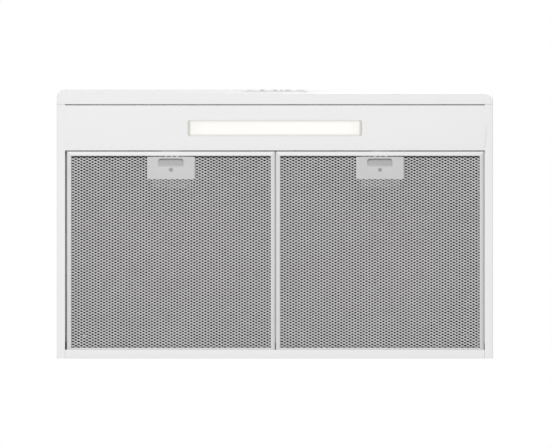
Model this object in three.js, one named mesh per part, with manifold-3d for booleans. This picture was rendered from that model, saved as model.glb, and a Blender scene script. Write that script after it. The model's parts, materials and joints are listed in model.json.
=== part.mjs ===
// Under cabinet range hood, in millimetres.
// X runs across the hood, -Y faces the cook and +Z is up. The origin is the middle of the top
// face, which lies against the underside of the cabinet.

import * as THREE from 'three';
import { mergeVertices } from 'three/addons/utils/BufferGeometryUtils.js';
import Module from 'manifold-3d';

const wasm = await Module();
wasm.setup();

// Casing of folded sheet steel
const HOOD_WIDTH = 758.8;
const HOOD_DEPTH = 461;
const HOOD_HEIGHT = 127;
const SHEET = 0.9;
const CORNER_RADIUS = 14;
const TOUCH_GAP = 0.3; // left between two pieces that touch
const TOP_FLANGE = 12;
const LIP_DEPTH = 17.9; // folded lip under the front panel
const SLOT_WIDTH = 2; // between the front lip and the light panel
const LIGHT_PANEL_DEPTH = 78.5;
const SIDE_FLANGE = 14.5;
const REAR_FLANGE = 15.5;
const UPTURN = 10; // height of the folded edges round the openings

// Top panel openings
const DUCT_WIDTH = 254;
const DUCT_DEPTH = 82.5;
const DUCT_FROM_REAR = 66; // duct centre to the rear face
const KEYHOLE_RADIUS = 5.5;
const KEYHOLE_SLOT = 6;
const KEYHOLE_REACH = 12;
const KEYHOLE_INSET_X = 60;
const KEYHOLE_INSET_Y = 75;

// Light
const LENS_LENGTH = 302;
const LENS_DEPTH = 27;
const LENS_CORNER = 4;
const LENS_FROM_FRONT = 59.5; // lens centre line to the front face
const LENS_FLANGE = 4;
const LENS_THICKNESS = 1.5;
const LENS_FIT = 0.4;
const LIGHT_HOUSING_HEIGHT = 24;
const LIGHT_HOUSING_EAR = 14;
const BOARD_DEPTH = 14;
const BOARD_THICKNESS = 1.6;
const LED_COUNT = 14;
const LED_SIZE = 3;
const STUD_RADIUS = 2;
const STUD_HEIGHT = 8;
const DRIVER = { length: 86, depth: 34, height: 22, x: 215, fromFront: 48 };

// Controls
const BUTTON_NAMES = ['button_off', 'button_low', 'button_medium', 'button_high', 'button_light'];
const BUTTON_PITCH = 22;
const BUTTON_WIDTH = 13;
const BUTTON_HEIGHT = 9;
const BUTTON_PROUD = 3.5;
const BUTTON_CAP_LENGTH = 11.5;
const BUTTON_TRAVEL = 3;
const BUTTON_FIT = 0.5;
const BUTTON_DROP = 50; // button centre line below the top face
const STEM_WIDTH = 6;
const STEM_HEIGHT = 4;
const STEM_LENGTH = 12;
const BEZEL_MARGIN_X = 8;
const BEZEL_MARGIN_Z = 4.5;
const BEZEL_THICKNESS = 1.2;
const PEG_SIZE = 4;
const SWITCH_CLEARANCE = 1.5; // left behind a button that is pressed right in
const SWITCH_DEPTH = 22;
const SWITCH_HEIGHT = 26;

// Grease filters
const FILTER_GAP_FRONT = 1.7;
const FILTER_GAP_LEFT = 3;
const FILTER_GAP_RIGHT = 1;
const FILTER_GAP_BETWEEN = 1;
const FILTER_THICKNESS = 9.5;
const FILTER_REST = 0.3; // above the rear flange that carries it
const FILTER_TUCK = 3; // reach over the rear flange
const FILTER_METAL = 0.8;
const FILTER_RIM = 8;

// Latch of a filter, measured back from the filter's front edge
const LATCH_PLATE_START = 9.4;
const LATCH_PLATE_WIDTH = 83;
const LATCH_PLATE_DEPTH = 39;
const LATCH_METAL = 0.8;
const CUP_START = 13.1;
const CUP_WIDTH = 43;
const CUP_DEPTH = 15;
const CUP_RISE = 5;
const CUP_CORNER = 5;
const LATCH_TRAVEL = 6;
const LATCH_CLEARANCE = 1;
const LATCH_RIVET_START = 32;
const LATCH_RIVET_RADIUS = 3.5;
const LATCH_SHANK_RADIUS = 1.5;
const SLIDE_WIDTH = 60;
const SLIDE_END = 42;
const TONGUE_WIDTH = 30;
const TONGUE_PROUD = 1.1;
const TONGUE_ROOT = 10; // where the tongue joins the slide, behind the filter's front edge
const GUIDE_END = 62;
const GUIDE_HEIGHT = 5;
const SPRING_RADIUS = 1.4;
const SPRING_WIRE = 0.3;
const SPRING_TURNS = 6;

// Blower
const BLOWER_X = -10;
const BLOWER_Y = -10;
const WHEEL_RADIUS = 90;
const WHEEL_HEIGHT = 63;
const BLADE_COUNT = 30;
const BLADE_CHORD = 17;
const BLADE_METAL = 0.8;
const HUB_RADIUS = 9;
const HUB_HEIGHT = 14;
const SCROLL_METAL = 1;
const SCROLL_HEIGHT = 85;
const SCROLL_CUTOFF = 98; // scroll radius at the tongue
const SCROLL_WIDEST = 137; // scroll radius where it runs out to the duct
const SCROLL_TONGUE_DEG = 105;
const SCROLL_EAR = 16;
const SCROLL_EAR_ROOT = 8; // how far an ear runs on into the housing
const INLET_RADIUS = 69;
const INLET_LIP = 6;
const MOTOR_RADIUS = 40;
const MOTOR_LENGTH = 55;
const MOTOR_SHOULDER = 6;
const MOTOR_LOWER_TAPER = 8;
const MOTOR_UPPER_TAPER = 12;
const MOTOR_BOSS_HEIGHT = 4;
const MOTOR_BOSS_WALL = 6;
const MOTOR_BOSS_TAPER = 2;
const BEARING_DEPTH = 10;
const WHEEL_BELOW_SCROLL = 9;
const SHAFT_PAST_WHEEL = 5;
const SHAFT_RADIUS = 4;
const SHAFT_FIT = 0.3;
const BRACKET_RING = 30;
const BRACKET_ARM_WIDTH = 18;
const BRACKET_REACH = 86;
const BRACKET_METAL = 1.5;
const BRACKET_SCREW_PAST = 3; // screw length beyond the inlet plate
const BRACKET_ARMS = 3;
const SCREW_RADIUS = 2;
const SCREW_HEAD_RADIUS = 4;
const SCREW_HEAD_HEIGHT = 2.6;
const SCREW_FIT = 0.4;
const CAPACITOR = { length: 50, depth: 22, height: 32, x: -205, y: -60 };

// Duct collar and damper
const COLLAR_HEIGHT = 42;
const COLLAR_METAL = 0.8;
const COLLAR_FLANGE = 9;
const COLLAR_FIT = 1;
const FLAP_FIT = 1.5;
const FLAP_LIFT = 8; // damper pin above the top face
const FLAP_METAL = 0.8;
const PIN_RADIUS = 1.5;
const CURL_RADIUS = 3;
const PIN_FIT = 0.4;

// Wiring compartment
const WIRING_BOX = { width: 96, depth: 86, height: 44, fromSide: 34, fromRear: 12 };
const WIRING_HOLE_RADIUS = 11;
const WIRING_BOSS = { reach: 12, half: 6, height: 8 };
const WIRING_SCREW_LENGTH = 6;
const BUSHING_BORE = 8;
const BUSHING_LIP = 3;

// Places that follow from the sizes above
const FRONT = -HOOD_DEPTH / 2;
const REAR = HOOD_DEPTH / 2;
const BOTTOM = -HOOD_HEIGHT;
const HALF_WIDTH = HOOD_WIDTH / 2;
const UNDER_TOP = -SHEET - TOUCH_GAP;
const OPENING_HALF = HALF_WIDTH - SIDE_FLANGE;
const LIP_REAR = FRONT + LIP_DEPTH;
const LIGHT_FRONT = LIP_REAR + SLOT_WIDTH;
const LIGHT_REAR = LIGHT_FRONT + LIGHT_PANEL_DEPTH;
const HINGE_Y = REAR - REAR_FLANGE;
const HINGE_Z = BOTTOM + SHEET + FILTER_REST / 2;
const DUCT_Y = REAR - DUCT_FROM_REAR;
const PAN_TOP = BOTTOM + SHEET + TOUCH_GAP;
const LENS_Y = FRONT + LENS_FROM_FRONT;
const COLLAR_FLANGE_TOP = UNDER_TOP;
const SCROLL_TOP = COLLAR_FLANGE_TOP - COLLAR_METAL - TOUCH_GAP;
const SCROLL_BOTTOM = SCROLL_TOP - SCROLL_HEIGHT;

const whitePaint = new THREE.MeshStandardMaterial({ color: 0xeeeeee, roughness: 0.45, metalness: 0 });
const frosted = new THREE.MeshStandardMaterial({ color: 0xfffdf6, roughness: 0.6, metalness: 0 });
const whiteBoard = new THREE.MeshStandardMaterial({ color: 0xe8ece6, roughness: 0.5, metalness: 0 });
const galvanised = new THREE.MeshStandardMaterial({ color: 0xb9bdc0, roughness: 0.4, metalness: 1 });
const aluminium = new THREE.MeshStandardMaterial({ color: 0xd2d3d4, roughness: 0.4, metalness: 1 });
const meshMetal = new THREE.MeshStandardMaterial({ color: 0xa0a2a4, roughness: 0.45, metalness: 1 });
const steel = new THREE.MeshStandardMaterial({ color: 0x9ea1a4, roughness: 0.3, metalness: 1 });
const greyPlastic = new THREE.MeshStandardMaterial({ color: 0xd9d9d7, roughness: 0.5, metalness: 0 });
const blackPlastic = new THREE.MeshStandardMaterial({ color: 0x222224, roughness: 0.55, metalness: 0 });

const hood = new THREE.Group();

// ---------- Solids from three.js shapes ----------

function toSolid(geometry) {
  geometry.deleteAttribute('normal');
  geometry.deleteAttribute('uv');
  const merged = mergeVertices(geometry, 1e-4);
  return new wasm.Manifold(new wasm.Mesh({
    numProp: 3,
    vertProperties: new Float32Array(merged.attributes.position.array),
    triVerts: new Uint32Array(merged.index.array),
  }));
}

function toGeometry(solid) {
  const mesh = solid.getMesh();
  const geometry = new THREE.BufferGeometry();
  geometry.setAttribute('position', new THREE.BufferAttribute(mesh.vertProperties, 3));
  geometry.setIndex(new THREE.BufferAttribute(mesh.triVerts, 1));
  geometry.computeVertexNormals();
  return geometry;
}

function join(first, ...others) {
  return others.reduce((sum, other) => sum.add(other), first);
}

function block([x0, x1], [y0, y1], [z0, z1]) {
  const geometry = new THREE.BoxGeometry(x1 - x0, y1 - y0, z1 - z0);
  geometry.translate((x0 + x1) / 2, (y0 + y1) / 2, (z0 + z1) / 2);
  return toSolid(geometry);
}

// A flat shape drawn in X and Y, from z0 up to z1
function prism(shape, [z0, z1], curveSegments = 8) {
  const geometry = new THREE.ExtrudeGeometry(shape, { depth: z1 - z0, bevelEnabled: false, curveSegments });
  geometry.translate(0, 0, z0);
  return toSolid(geometry);
}

// A flat shape drawn in X and Z, from y0 back to y1
function prismAlongY(shape, [y0, y1], curveSegments = 8) {
  const geometry = new THREE.ExtrudeGeometry(shape, { depth: y1 - y0, bevelEnabled: false, curveSegments });
  geometry.rotateX(Math.PI / 2);
  geometry.translate(0, y1, 0);
  return toSolid(geometry);
}

function disc(radius, [z0, z1], [x, y] = [0, 0], segments = 24) {
  const geometry = new THREE.CylinderGeometry(radius, radius, z1 - z0, segments);
  geometry.rotateX(Math.PI / 2);
  geometry.translate(x, y, (z0 + z1) / 2);
  return toSolid(geometry);
}

function rodAlongX(radius, [x0, x1], [y, z], segments = 16) {
  const geometry = new THREE.CylinderGeometry(radius, radius, x1 - x0, segments);
  geometry.rotateZ(Math.PI / 2);
  geometry.translate((x0 + x1) / 2, y, z);
  return toSolid(geometry);
}

// A closed profile of [radius, z] points turned about the Z axis
function turned(profile, segments = 32) {
  const points = profile.map(([radius, z]) => new THREE.Vector2(radius, z));
  const geometry = new THREE.LatheGeometry(points, segments);
  geometry.rotateX(Math.PI / 2);
  return toSolid(geometry);
}

function rectangle([x0, x1], [y0, y1]) {
  return new THREE.Shape([
    new THREE.Vector2(x0, y0), new THREE.Vector2(x1, y0),
    new THREE.Vector2(x1, y1), new THREE.Vector2(x0, y1),
  ]);
}

function roundedRectangle([x0, x1], [y0, y1], radius) {
  const shape = new THREE.Shape();
  shape.moveTo(x0 + radius, y0);
  shape.absarc(x1 - radius, y0 + radius, radius, -Math.PI / 2, 0, false);
  shape.absarc(x1 - radius, y1 - radius, radius, 0, Math.PI / 2, false);
  shape.absarc(x0 + radius, y1 - radius, radius, Math.PI / 2, Math.PI, false);
  shape.absarc(x0 + radius, y0 + radius, radius, Math.PI, Math.PI * 1.5, false);
  return shape;
}

// Plan outline with the two front corners rounded
function frontRounded(halfWidth, [y0, y1], radius) {
  const shape = new THREE.Shape();
  shape.moveTo(-halfWidth + radius, y0);
  shape.absarc(halfWidth - radius, y0 + radius, radius, -Math.PI / 2, 0, false);
  shape.lineTo(halfWidth, y1);
  shape.lineTo(-halfWidth, y1);
  shape.absarc(-halfWidth + radius, y0 + radius, radius, Math.PI, Math.PI * 1.5, false);
  return shape;
}

function place(name, solid, material, parent = hood, position = [0, 0, 0]) {
  const mesh = new THREE.Mesh(toGeometry(solid), material);
  mesh.name = name;
  mesh.position.set(...position);
  parent.add(mesh);
}

// ---------- Casing ----------

function buttonX(index) {
  return (index - (BUTTON_NAMES.length - 1) / 2) * BUTTON_PITCH;
}

function buttonWindows([y0, y1]) {
  const halfWidth = BUTTON_WIDTH / 2 + BUTTON_FIT;
  const halfHeight = BUTTON_HEIGHT / 2 + BUTTON_FIT;
  return BUTTON_NAMES.map((name, index) => block(
    [buttonX(index) - halfWidth, buttonX(index) + halfWidth],
    [y0, y1],
    [-BUTTON_DROP - halfHeight, -BUTTON_DROP + halfHeight],
  ));
}

const BEZEL_HALF = (BUTTON_PITCH * (BUTTON_NAMES.length - 1) + BUTTON_WIDTH) / 2 + BEZEL_MARGIN_X;
const PEG_X = BEZEL_HALF - PEG_SIZE;

function pegs([y0, y1], clearance) {
  const half = PEG_SIZE / 2 + clearance;
  return [-PEG_X, PEG_X].map((x) => block(
    [x - half, x + half], [y0, y1], [-BUTTON_DROP - half, -BUTTON_DROP + half],
  ));
}

function frontPanel() {
  const outline = frontRounded(HALF_WIDTH, [FRONT, LIP_REAR], CORNER_RADIUS);
  const inside = frontRounded(HALF_WIDTH - SHEET, [FRONT + SHEET, LIP_REAR + SHEET], CORNER_RADIUS - SHEET);
  const middle = frontRounded(
    HALF_WIDTH - SHEET / 2, [FRONT + SHEET / 2, LIP_REAR], CORNER_RADIUS - SHEET / 2,
  );
  const wall = prism(outline, [BOTTOM, UNDER_TOP]).subtract(prism(inside, [BOTTOM - SHEET, 0]));
  const lip = prism(middle, [BOTTOM, BOTTOM + SHEET]);
  const topFlange = prism(middle, [UNDER_TOP - SHEET, UNDER_TOP]).intersect(
    block([-HALF_WIDTH, HALF_WIDTH], [FRONT, FRONT + TOP_FLANGE], [-HOOD_HEIGHT, 0]),
  );
  const upturn = block(
    [-OPENING_HALF, OPENING_HALF], [LIP_REAR - SHEET, LIP_REAR], [BOTTOM, BOTTOM + UPTURN],
  );
  const through = [FRONT - SHEET, FRONT + 2 * SHEET];
  return [...buttonWindows(through), ...pegs(through, BUTTON_FIT)].reduce(
    (panel, hole) => panel.subtract(hole), join(wall, lip, topFlange, upturn),
  );
}

function sidePanel(side) {
  const across = (inner, outer) => (side > 0 ? [inner, outer] : [-outer, -inner]);
  const along = [LIP_REAR + TOUCH_GAP, REAR];
  const opening = across(OPENING_HALF, OPENING_HALF + SHEET);
  return join(
    block(across(HALF_WIDTH - SHEET, HALF_WIDTH), along, [BOTTOM, UNDER_TOP]),
    block(across(OPENING_HALF, HALF_WIDTH), along, [BOTTOM, BOTTOM + SHEET]),
    block(across(HALF_WIDTH - TOP_FLANGE, HALF_WIDTH), along, [UNDER_TOP - SHEET, UNDER_TOP]),
    block(opening, [LIGHT_FRONT, HINGE_Y], [BOTTOM, BOTTOM + UPTURN]),
  );
}

function rearPanel() {
  const flangeHalf = OPENING_HALF - TOUCH_GAP;
  const topHalf = HALF_WIDTH - TOP_FLANGE - TOUCH_GAP;
  const wingHalf = HALF_WIDTH - SHEET - TOUCH_GAP;
  return join(
    block([-flangeHalf, flangeHalf], [REAR - SHEET, REAR], [BOTTOM, UNDER_TOP]),
    block([-wingHalf, wingHalf], [REAR - SHEET, REAR], [PAN_TOP, UNDER_TOP - SHEET - TOUCH_GAP]),
    block([-flangeHalf, flangeHalf], [HINGE_Y, REAR], [BOTTOM, BOTTOM + SHEET]),
    block([-topHalf, topHalf], [REAR - TOP_FLANGE, REAR], [UNDER_TOP - SHEET, UNDER_TOP]),
  );
}

function keyhole(x, y) {
  const hole = new THREE.Path();
  const half = KEYHOLE_SLOT / 2;
  const angle = Math.asin(half / KEYHOLE_RADIUS);
  hole.absarc(x, y, KEYHOLE_RADIUS, Math.PI / 2 + angle, Math.PI * 2.5 - angle, false);
  hole.lineTo(x + half, y + KEYHOLE_REACH);
  hole.lineTo(x - half, y + KEYHOLE_REACH);
  hole.closePath();
  return hole;
}

const WIRING_X = HALF_WIDTH - WIRING_BOX.fromSide - WIRING_BOX.width / 2;
const WIRING_Y = REAR - WIRING_BOX.fromRear - WIRING_BOX.depth / 2;

function topPanel() {
  const outline = frontRounded(HALF_WIDTH, [FRONT, REAR], CORNER_RADIUS);
  const duct = rectangle(
    [-DUCT_WIDTH / 2, DUCT_WIDTH / 2], [DUCT_Y - DUCT_DEPTH / 2, DUCT_Y + DUCT_DEPTH / 2],
  );
  outline.holes.push(duct);
  for (const x of [-HALF_WIDTH + KEYHOLE_INSET_X, HALF_WIDTH - KEYHOLE_INSET_X]) {
    outline.holes.push(keyhole(x, FRONT + KEYHOLE_INSET_Y), keyhole(x, WIRING_Y - WIRING_BOX.depth));
  }
  const wiring = new THREE.Path();
  wiring.absarc(WIRING_X, WIRING_Y, WIRING_HOLE_RADIUS, 0, Math.PI * 2, false);
  outline.holes.push(wiring);
  return prism(outline, [-SHEET, 0], 12);
}

function latchX(filterX) {
  return [filterX - TONGUE_WIDTH / 2 - LATCH_CLEARANCE, filterX + TONGUE_WIDTH / 2 + LATCH_CLEARANCE];
}

function lightPanel(filterXs) {
  const half = OPENING_HALF - TOUCH_GAP;
  const depth = [LIGHT_FRONT, LIGHT_REAR];
  const rise = [BOTTOM, BOTTOM + UPTURN];
  const lens = roundedRectangle(
    [-LENS_LENGTH / 2 - LENS_FIT, LENS_LENGTH / 2 + LENS_FIT],
    [LENS_Y - LENS_DEPTH / 2 - LENS_FIT, LENS_Y + LENS_DEPTH / 2 + LENS_FIT],
    LENS_CORNER,
  );
  const tray = join(
    block([-half, half], depth, [BOTTOM, BOTTOM + SHEET]),
    block([-half, half], [LIGHT_FRONT, LIGHT_FRONT + SHEET], rise),
    block([-half, half], [LIGHT_REAR - SHEET, LIGHT_REAR], rise),
    block([-half, -half + SHEET], depth, rise),
    block([half - SHEET, half], depth, rise),
  );
  const studs = studXs().map((x) => disc(
    STUD_RADIUS, [BOTTOM + SHEET / 2, BOTTOM + SHEET + STUD_HEIGHT], [x, LENS_Y], 12,
  ));
  const strikes = filterXs.map((x) => block(
    latchX(x), [LIGHT_REAR - 2 * SHEET, LIGHT_REAR + SHEET], [tongueZ()[0] - 1, tongueZ()[1] + 1],
  ));
  const opened = tray.subtract(prism(lens, [BOTTOM - SHEET, BOTTOM + 2 * SHEET], 4));
  return join(strikes.reduce((panel, slot) => panel.subtract(slot), opened), ...studs);
}

// ---------- Light ----------

const HOUSING_HALF_LENGTH = LENS_LENGTH / 2 + LENS_FLANGE + 2 * LENS_FIT + SHEET;
const HOUSING_HALF_DEPTH = LENS_DEPTH / 2 + LENS_FLANGE + 2 * LENS_FIT + SHEET;

function studXs() {
  const x = HOUSING_HALF_LENGTH + LIGHT_HOUSING_EAR / 2;
  return [-x, x];
}

function lightLens() {
  const shape = (grow) => roundedRectangle(
    [-LENS_LENGTH / 2 - grow, LENS_LENGTH / 2 + grow],
    [LENS_Y - LENS_DEPTH / 2 - grow, LENS_Y + LENS_DEPTH / 2 + grow],
    LENS_CORNER,
  );
  return join(
    prism(shape(0), [BOTTOM, PAN_TOP + LENS_THICKNESS], 4),
    prism(shape(LENS_FLANGE), [PAN_TOP, PAN_TOP + LENS_THICKNESS], 4),
  );
}

function lightHousing() {
  const x = [-HOUSING_HALF_LENGTH, HOUSING_HALF_LENGTH];
  const y = [LENS_Y - HOUSING_HALF_DEPTH, LENS_Y + HOUSING_HALF_DEPTH];
  const top = PAN_TOP + LIGHT_HOUSING_HEIGHT;
  const box = block(x, y, [PAN_TOP, top]).subtract(
    block([x[0] + SHEET, x[1] - SHEET], [y[0] + SHEET, y[1] - SHEET], [PAN_TOP - 1, top - SHEET]),
  );
  const earHalf = LENS_DEPTH / 4;
  const earSpans = [[x[0] - LIGHT_HOUSING_EAR, x[0] + SHEET / 2], [x[1] - SHEET / 2, x[1] + LIGHT_HOUSING_EAR]];
  const ears = earSpans.map(
    (ear) => block(ear, [LENS_Y - earHalf, LENS_Y + earHalf], [PAN_TOP, PAN_TOP + SHEET]),
  );
  const holes = studXs().map((stud) => disc(
    STUD_RADIUS + SCREW_FIT, [PAN_TOP - 1, PAN_TOP + 2 * SHEET], [stud, LENS_Y], 12,
  ));
  return holes.reduce((housing, hole) => housing.subtract(hole), join(box, ...ears));
}

function ledBoard() {
  const top = PAN_TOP + LIGHT_HOUSING_HEIGHT - SHEET - TOUCH_GAP;
  const half = LENS_LENGTH / 2 - LENS_CORNER;
  const board = block(
    [-half, half], [LENS_Y - BOARD_DEPTH / 2, LENS_Y + BOARD_DEPTH / 2], [top - BOARD_THICKNESS, top],
  );
  const step = (2 * half) / LED_COUNT;
  const leds = Array.from({ length: LED_COUNT }, (_, index) => {
    const x = -half + step * (index + 0.5);
    return block(
      [x - LED_SIZE / 2, x + LED_SIZE / 2], [LENS_Y - LED_SIZE / 2, LENS_Y + LED_SIZE / 2],
      [top - BOARD_THICKNESS - 1, top - BOARD_THICKNESS / 2],
    );
  });
  return join(board, ...leds);
}

function housingNut() {
  const z = PAN_TOP + SHEET + TOUCH_GAP;
  return disc(SCREW_HEAD_RADIUS, [z, z + SCREW_HEAD_HEIGHT], [0, 0], 6).subtract(
    disc(STUD_RADIUS + SCREW_FIT, [z - 1, z + SCREW_HEAD_HEIGHT + 1], [0, 0], 12),
  );
}

// A boxed electrical unit hung under the top panel
function hungUnit({ length, depth, height }, [x, y], radius) {
  const shape = roundedRectangle([x - length / 2, x + length / 2], [y - depth / 2, y + depth / 2], radius);
  return prism(shape, [UNDER_TOP - height, UNDER_TOP], 4);
}

// ---------- Controls ----------

function controlBezel() {
  const back = FRONT - TOUCH_GAP;
  const halfHeight = BUTTON_HEIGHT / 2 + BEZEL_MARGIN_Z;
  const face = roundedRectangle(
    [-BEZEL_HALF, BEZEL_HALF], [-BUTTON_DROP - halfHeight, -BUTTON_DROP + halfHeight], BEZEL_MARGIN_Z,
  );
  const plate = prismAlongY(face, [back - BEZEL_THICKNESS, back], 4);
  const open = buttonWindows([back - 2 * BEZEL_THICKNESS, back + SHEET]).reduce(
    (bezel, hole) => bezel.subtract(hole), plate,
  );
  return join(open, ...pegs([back - BEZEL_THICKNESS / 2, FRONT + 3 * SHEET], 0));
}

const SWITCH_FRONT = FRONT + BUTTON_CAP_LENGTH - BUTTON_PROUD + BUTTON_TRAVEL + SWITCH_CLEARANCE;

function pushButton() {
  const capFront = FRONT - BUTTON_PROUD;
  const cap = block(
    [-BUTTON_WIDTH / 2, BUTTON_WIDTH / 2], [capFront, capFront + BUTTON_CAP_LENGTH],
    [-BUTTON_HEIGHT / 2, BUTTON_HEIGHT / 2],
  );
  const stem = block(
    [-STEM_WIDTH / 2, STEM_WIDTH / 2],
    [capFront + BUTTON_CAP_LENGTH / 2, capFront + BUTTON_CAP_LENGTH + STEM_LENGTH],
    [-STEM_HEIGHT / 2, STEM_HEIGHT / 2],
  );
  return cap.add(stem);
}

function switchBlock() {
  const z = [-BUTTON_DROP - SWITCH_HEIGHT / 2, -BUTTON_DROP + SWITCH_HEIGHT / 2];
  const body = block([-BEZEL_HALF, BEZEL_HALF], [SWITCH_FRONT, SWITCH_FRONT + SWITCH_DEPTH], z);
  const legDepth = [FRONT + SHEET + TOUCH_GAP, SWITCH_FRONT + 1];
  const legInner = PEG_X - PEG_SIZE / 2 - 2 * BUTTON_FIT;
  const legs = [
    block([-BEZEL_HALF, -legInner], legDepth, z),
    block([legInner, BEZEL_HALF], legDepth, z),
  ];
  const socketDepth = BUTTON_PROUD + STEM_LENGTH;
  const sockets = BUTTON_NAMES.map((name, index) => block(
    [buttonX(index) - STEM_WIDTH / 2 - BUTTON_FIT, buttonX(index) + STEM_WIDTH / 2 + BUTTON_FIT],
    [SWITCH_FRONT - 1, SWITCH_FRONT + socketDepth],
    [-BUTTON_DROP - STEM_HEIGHT / 2 - BUTTON_FIT, -BUTTON_DROP + STEM_HEIGHT / 2 + BUTTON_FIT],
  ));
  const pegHoles = pegs([FRONT, FRONT + 4 * SHEET], BUTTON_FIT);
  return [...sockets, ...pegHoles].reduce((part, hole) => part.subtract(hole), join(body, ...legs));
}

// ---------- Grease filters ----------
// Each filter is built about its hinge line: y runs forward to -FILTER_REACH and z up from the hinge.

const FILTER_WIDTH = (2 * OPENING_HALF - FILTER_GAP_LEFT - FILTER_GAP_RIGHT - FILTER_GAP_BETWEEN) / 2;
const FILTER_REACH = HINGE_Y - LIGHT_REAR - FILTER_GAP_FRONT;
const FILTER_FLOOR = FILTER_REST / 2;
const FILTER_ROOF = FILTER_FLOOR + FILTER_THICKNESS;
const LOWER_MESH = [FILTER_FLOOR + FILTER_METAL + TOUCH_GAP, FILTER_FLOOR + 2 * FILTER_METAL + TOUCH_GAP];
const UPPER_MESH = [FILTER_ROOF - 2 * FILTER_METAL - TOUCH_GAP, FILTER_ROOF - FILTER_METAL - TOUCH_GAP];
const SLIDE_Z = [LOWER_MESH[1] + TOUCH_GAP, LOWER_MESH[1] + TOUCH_GAP + LATCH_METAL];

// Distance back from the filter's front edge, as a local y
function fromFilterFront(distance) {
  return -FILTER_REACH + distance;
}

// Height of the latch tongue in the hood
function tongueZ() {
  return [HINGE_Z + SLIDE_Z[0], HINGE_Z + SLIDE_Z[1]];
}

function filterRectangle(inset) {
  return [
    [-FILTER_WIDTH / 2 + inset, FILTER_WIDTH / 2 - inset],
    [-FILTER_REACH + inset, FILTER_TUCK - inset],
  ];
}

function filterRing(inset, z) {
  return block(...filterRectangle(0), z).subtract(block(...filterRectangle(inset), [z[0] - 1, z[1] + 1]));
}

function filterFrame() {
  const frame = join(
    filterRing(FILTER_METAL, [FILTER_FLOOR, FILTER_ROOF]),
    filterRing(FILTER_RIM, [FILTER_FLOOR, FILTER_FLOOR + FILTER_METAL]),
    filterRing(FILTER_RIM, [FILTER_ROOF - FILTER_METAL, FILTER_ROOF]),
  );
  const slot = block(
    latchX(0), [fromFilterFront(-1), fromFilterFront(2 * FILTER_METAL)],
    [SLIDE_Z[0] - TOUCH_GAP, SLIDE_Z[1] + TOUCH_GAP],
  );
  return frame.subtract(slot);
}

function filterMesh(z) {
  return block(...filterRectangle(FILTER_METAL + TOUCH_GAP), z);
}

function lowerMesh() {
  const half = CUP_WIDTH / 2 + LATCH_METAL + LATCH_CLEARANCE;
  const start = CUP_START - LATCH_METAL - LATCH_CLEARANCE;
  const end = LATCH_RIVET_START + LATCH_SHANK_RADIUS + LATCH_TRAVEL + LATCH_CLEARANCE;
  const well = block(
    [-half, half], [fromFilterFront(start), fromFilterFront(end)], [LOWER_MESH[0] - 1, LOWER_MESH[1] + 1],
  );
  return filterMesh(LOWER_MESH).subtract(well);
}

function cupShape(grow) {
  const half = CUP_WIDTH / 2 + grow;
  return frontRounded(
    half, [fromFilterFront(CUP_START - grow), fromFilterFront(CUP_START + CUP_DEPTH + grow)],
    CUP_CORNER + grow,
  );
}

function latchPlate() {
  const half = LATCH_PLATE_WIDTH / 2;
  const y = [fromFilterFront(LATCH_PLATE_START), fromFilterFront(LATCH_PLATE_START + LATCH_PLATE_DEPTH)];
  const floor = FILTER_FLOOR + CUP_RISE;
  const plate = block([-half, half], y, [FILTER_FLOOR, FILTER_FLOOR + LATCH_METAL]);
  const cup = prism(cupShape(LATCH_METAL), [FILTER_FLOOR, floor + LATCH_METAL], 5);
  const hollow = prism(cupShape(0), [FILTER_FLOOR - 1, floor], 5);
  const hole = disc(
    LATCH_SHANK_RADIUS + SCREW_FIT, [FILTER_FLOOR - 1, FILTER_FLOOR + 2],
    [0, fromFilterFront(LATCH_RIVET_START)], 12,
  );
  return plate.add(cup).subtract(hollow).subtract(hole);
}

// Strip behind the mesh that carries the tongue and passes round the finger cup
function latchSlide() {
  const half = SLIDE_WIDTH / 2;
  const gap = LATCH_METAL + LATCH_CLEARANCE;
  const end = fromFilterFront(SLIDE_END);
  const strip = block([-half, half], [fromFilterFront(TONGUE_ROOT - 1), end], SLIDE_Z);
  const tongue = block(
    [-TONGUE_WIDTH / 2, TONGUE_WIDTH / 2],
    [fromFilterFront(-TONGUE_PROUD), fromFilterFront(TONGUE_ROOT)], SLIDE_Z,
  );
  const cupHole = block(
    [-CUP_WIDTH / 2 - gap, CUP_WIDTH / 2 + gap],
    [fromFilterFront(CUP_START - gap), fromFilterFront(CUP_START + CUP_DEPTH + gap - TOUCH_GAP)],
    [SLIDE_Z[0] - 1, SLIDE_Z[1] + 1],
  );
  const rivetHole = disc(
    LATCH_SHANK_RADIUS + SCREW_FIT, [SLIDE_Z[0] - 1, SLIDE_Z[1] + 1],
    [0, fromFilterFront(LATCH_RIVET_START)], 12,
  );
  const springTab = block(
    [-3 * SPRING_RADIUS, 3 * SPRING_RADIUS], [end - LATCH_METAL, end],
    [SLIDE_Z[0], SLIDE_Z[0] + 2.5 * SPRING_RADIUS],
  );
  return join(strip, tongue, springTab).subtract(cupHole).subtract(rivetHole);
}

function latchRivet() {
  const at = [0, fromFilterFront(LATCH_RIVET_START)];
  const headTop = FILTER_FLOOR - TOUCH_GAP / 2;
  return join(
    disc(LATCH_RIVET_RADIUS, [headTop - LATCH_METAL, headTop], at, 16),
    disc(LATCH_SHANK_RADIUS, [headTop - LATCH_METAL / 2, SLIDE_Z[1] + TOUCH_GAP + LATCH_METAL / 2], at, 12),
    disc(LATCH_RIVET_RADIUS - 1, [SLIDE_Z[1] + TOUCH_GAP, SLIDE_Z[1] + TOUCH_GAP + LATCH_METAL], at, 16),
  );
}

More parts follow.
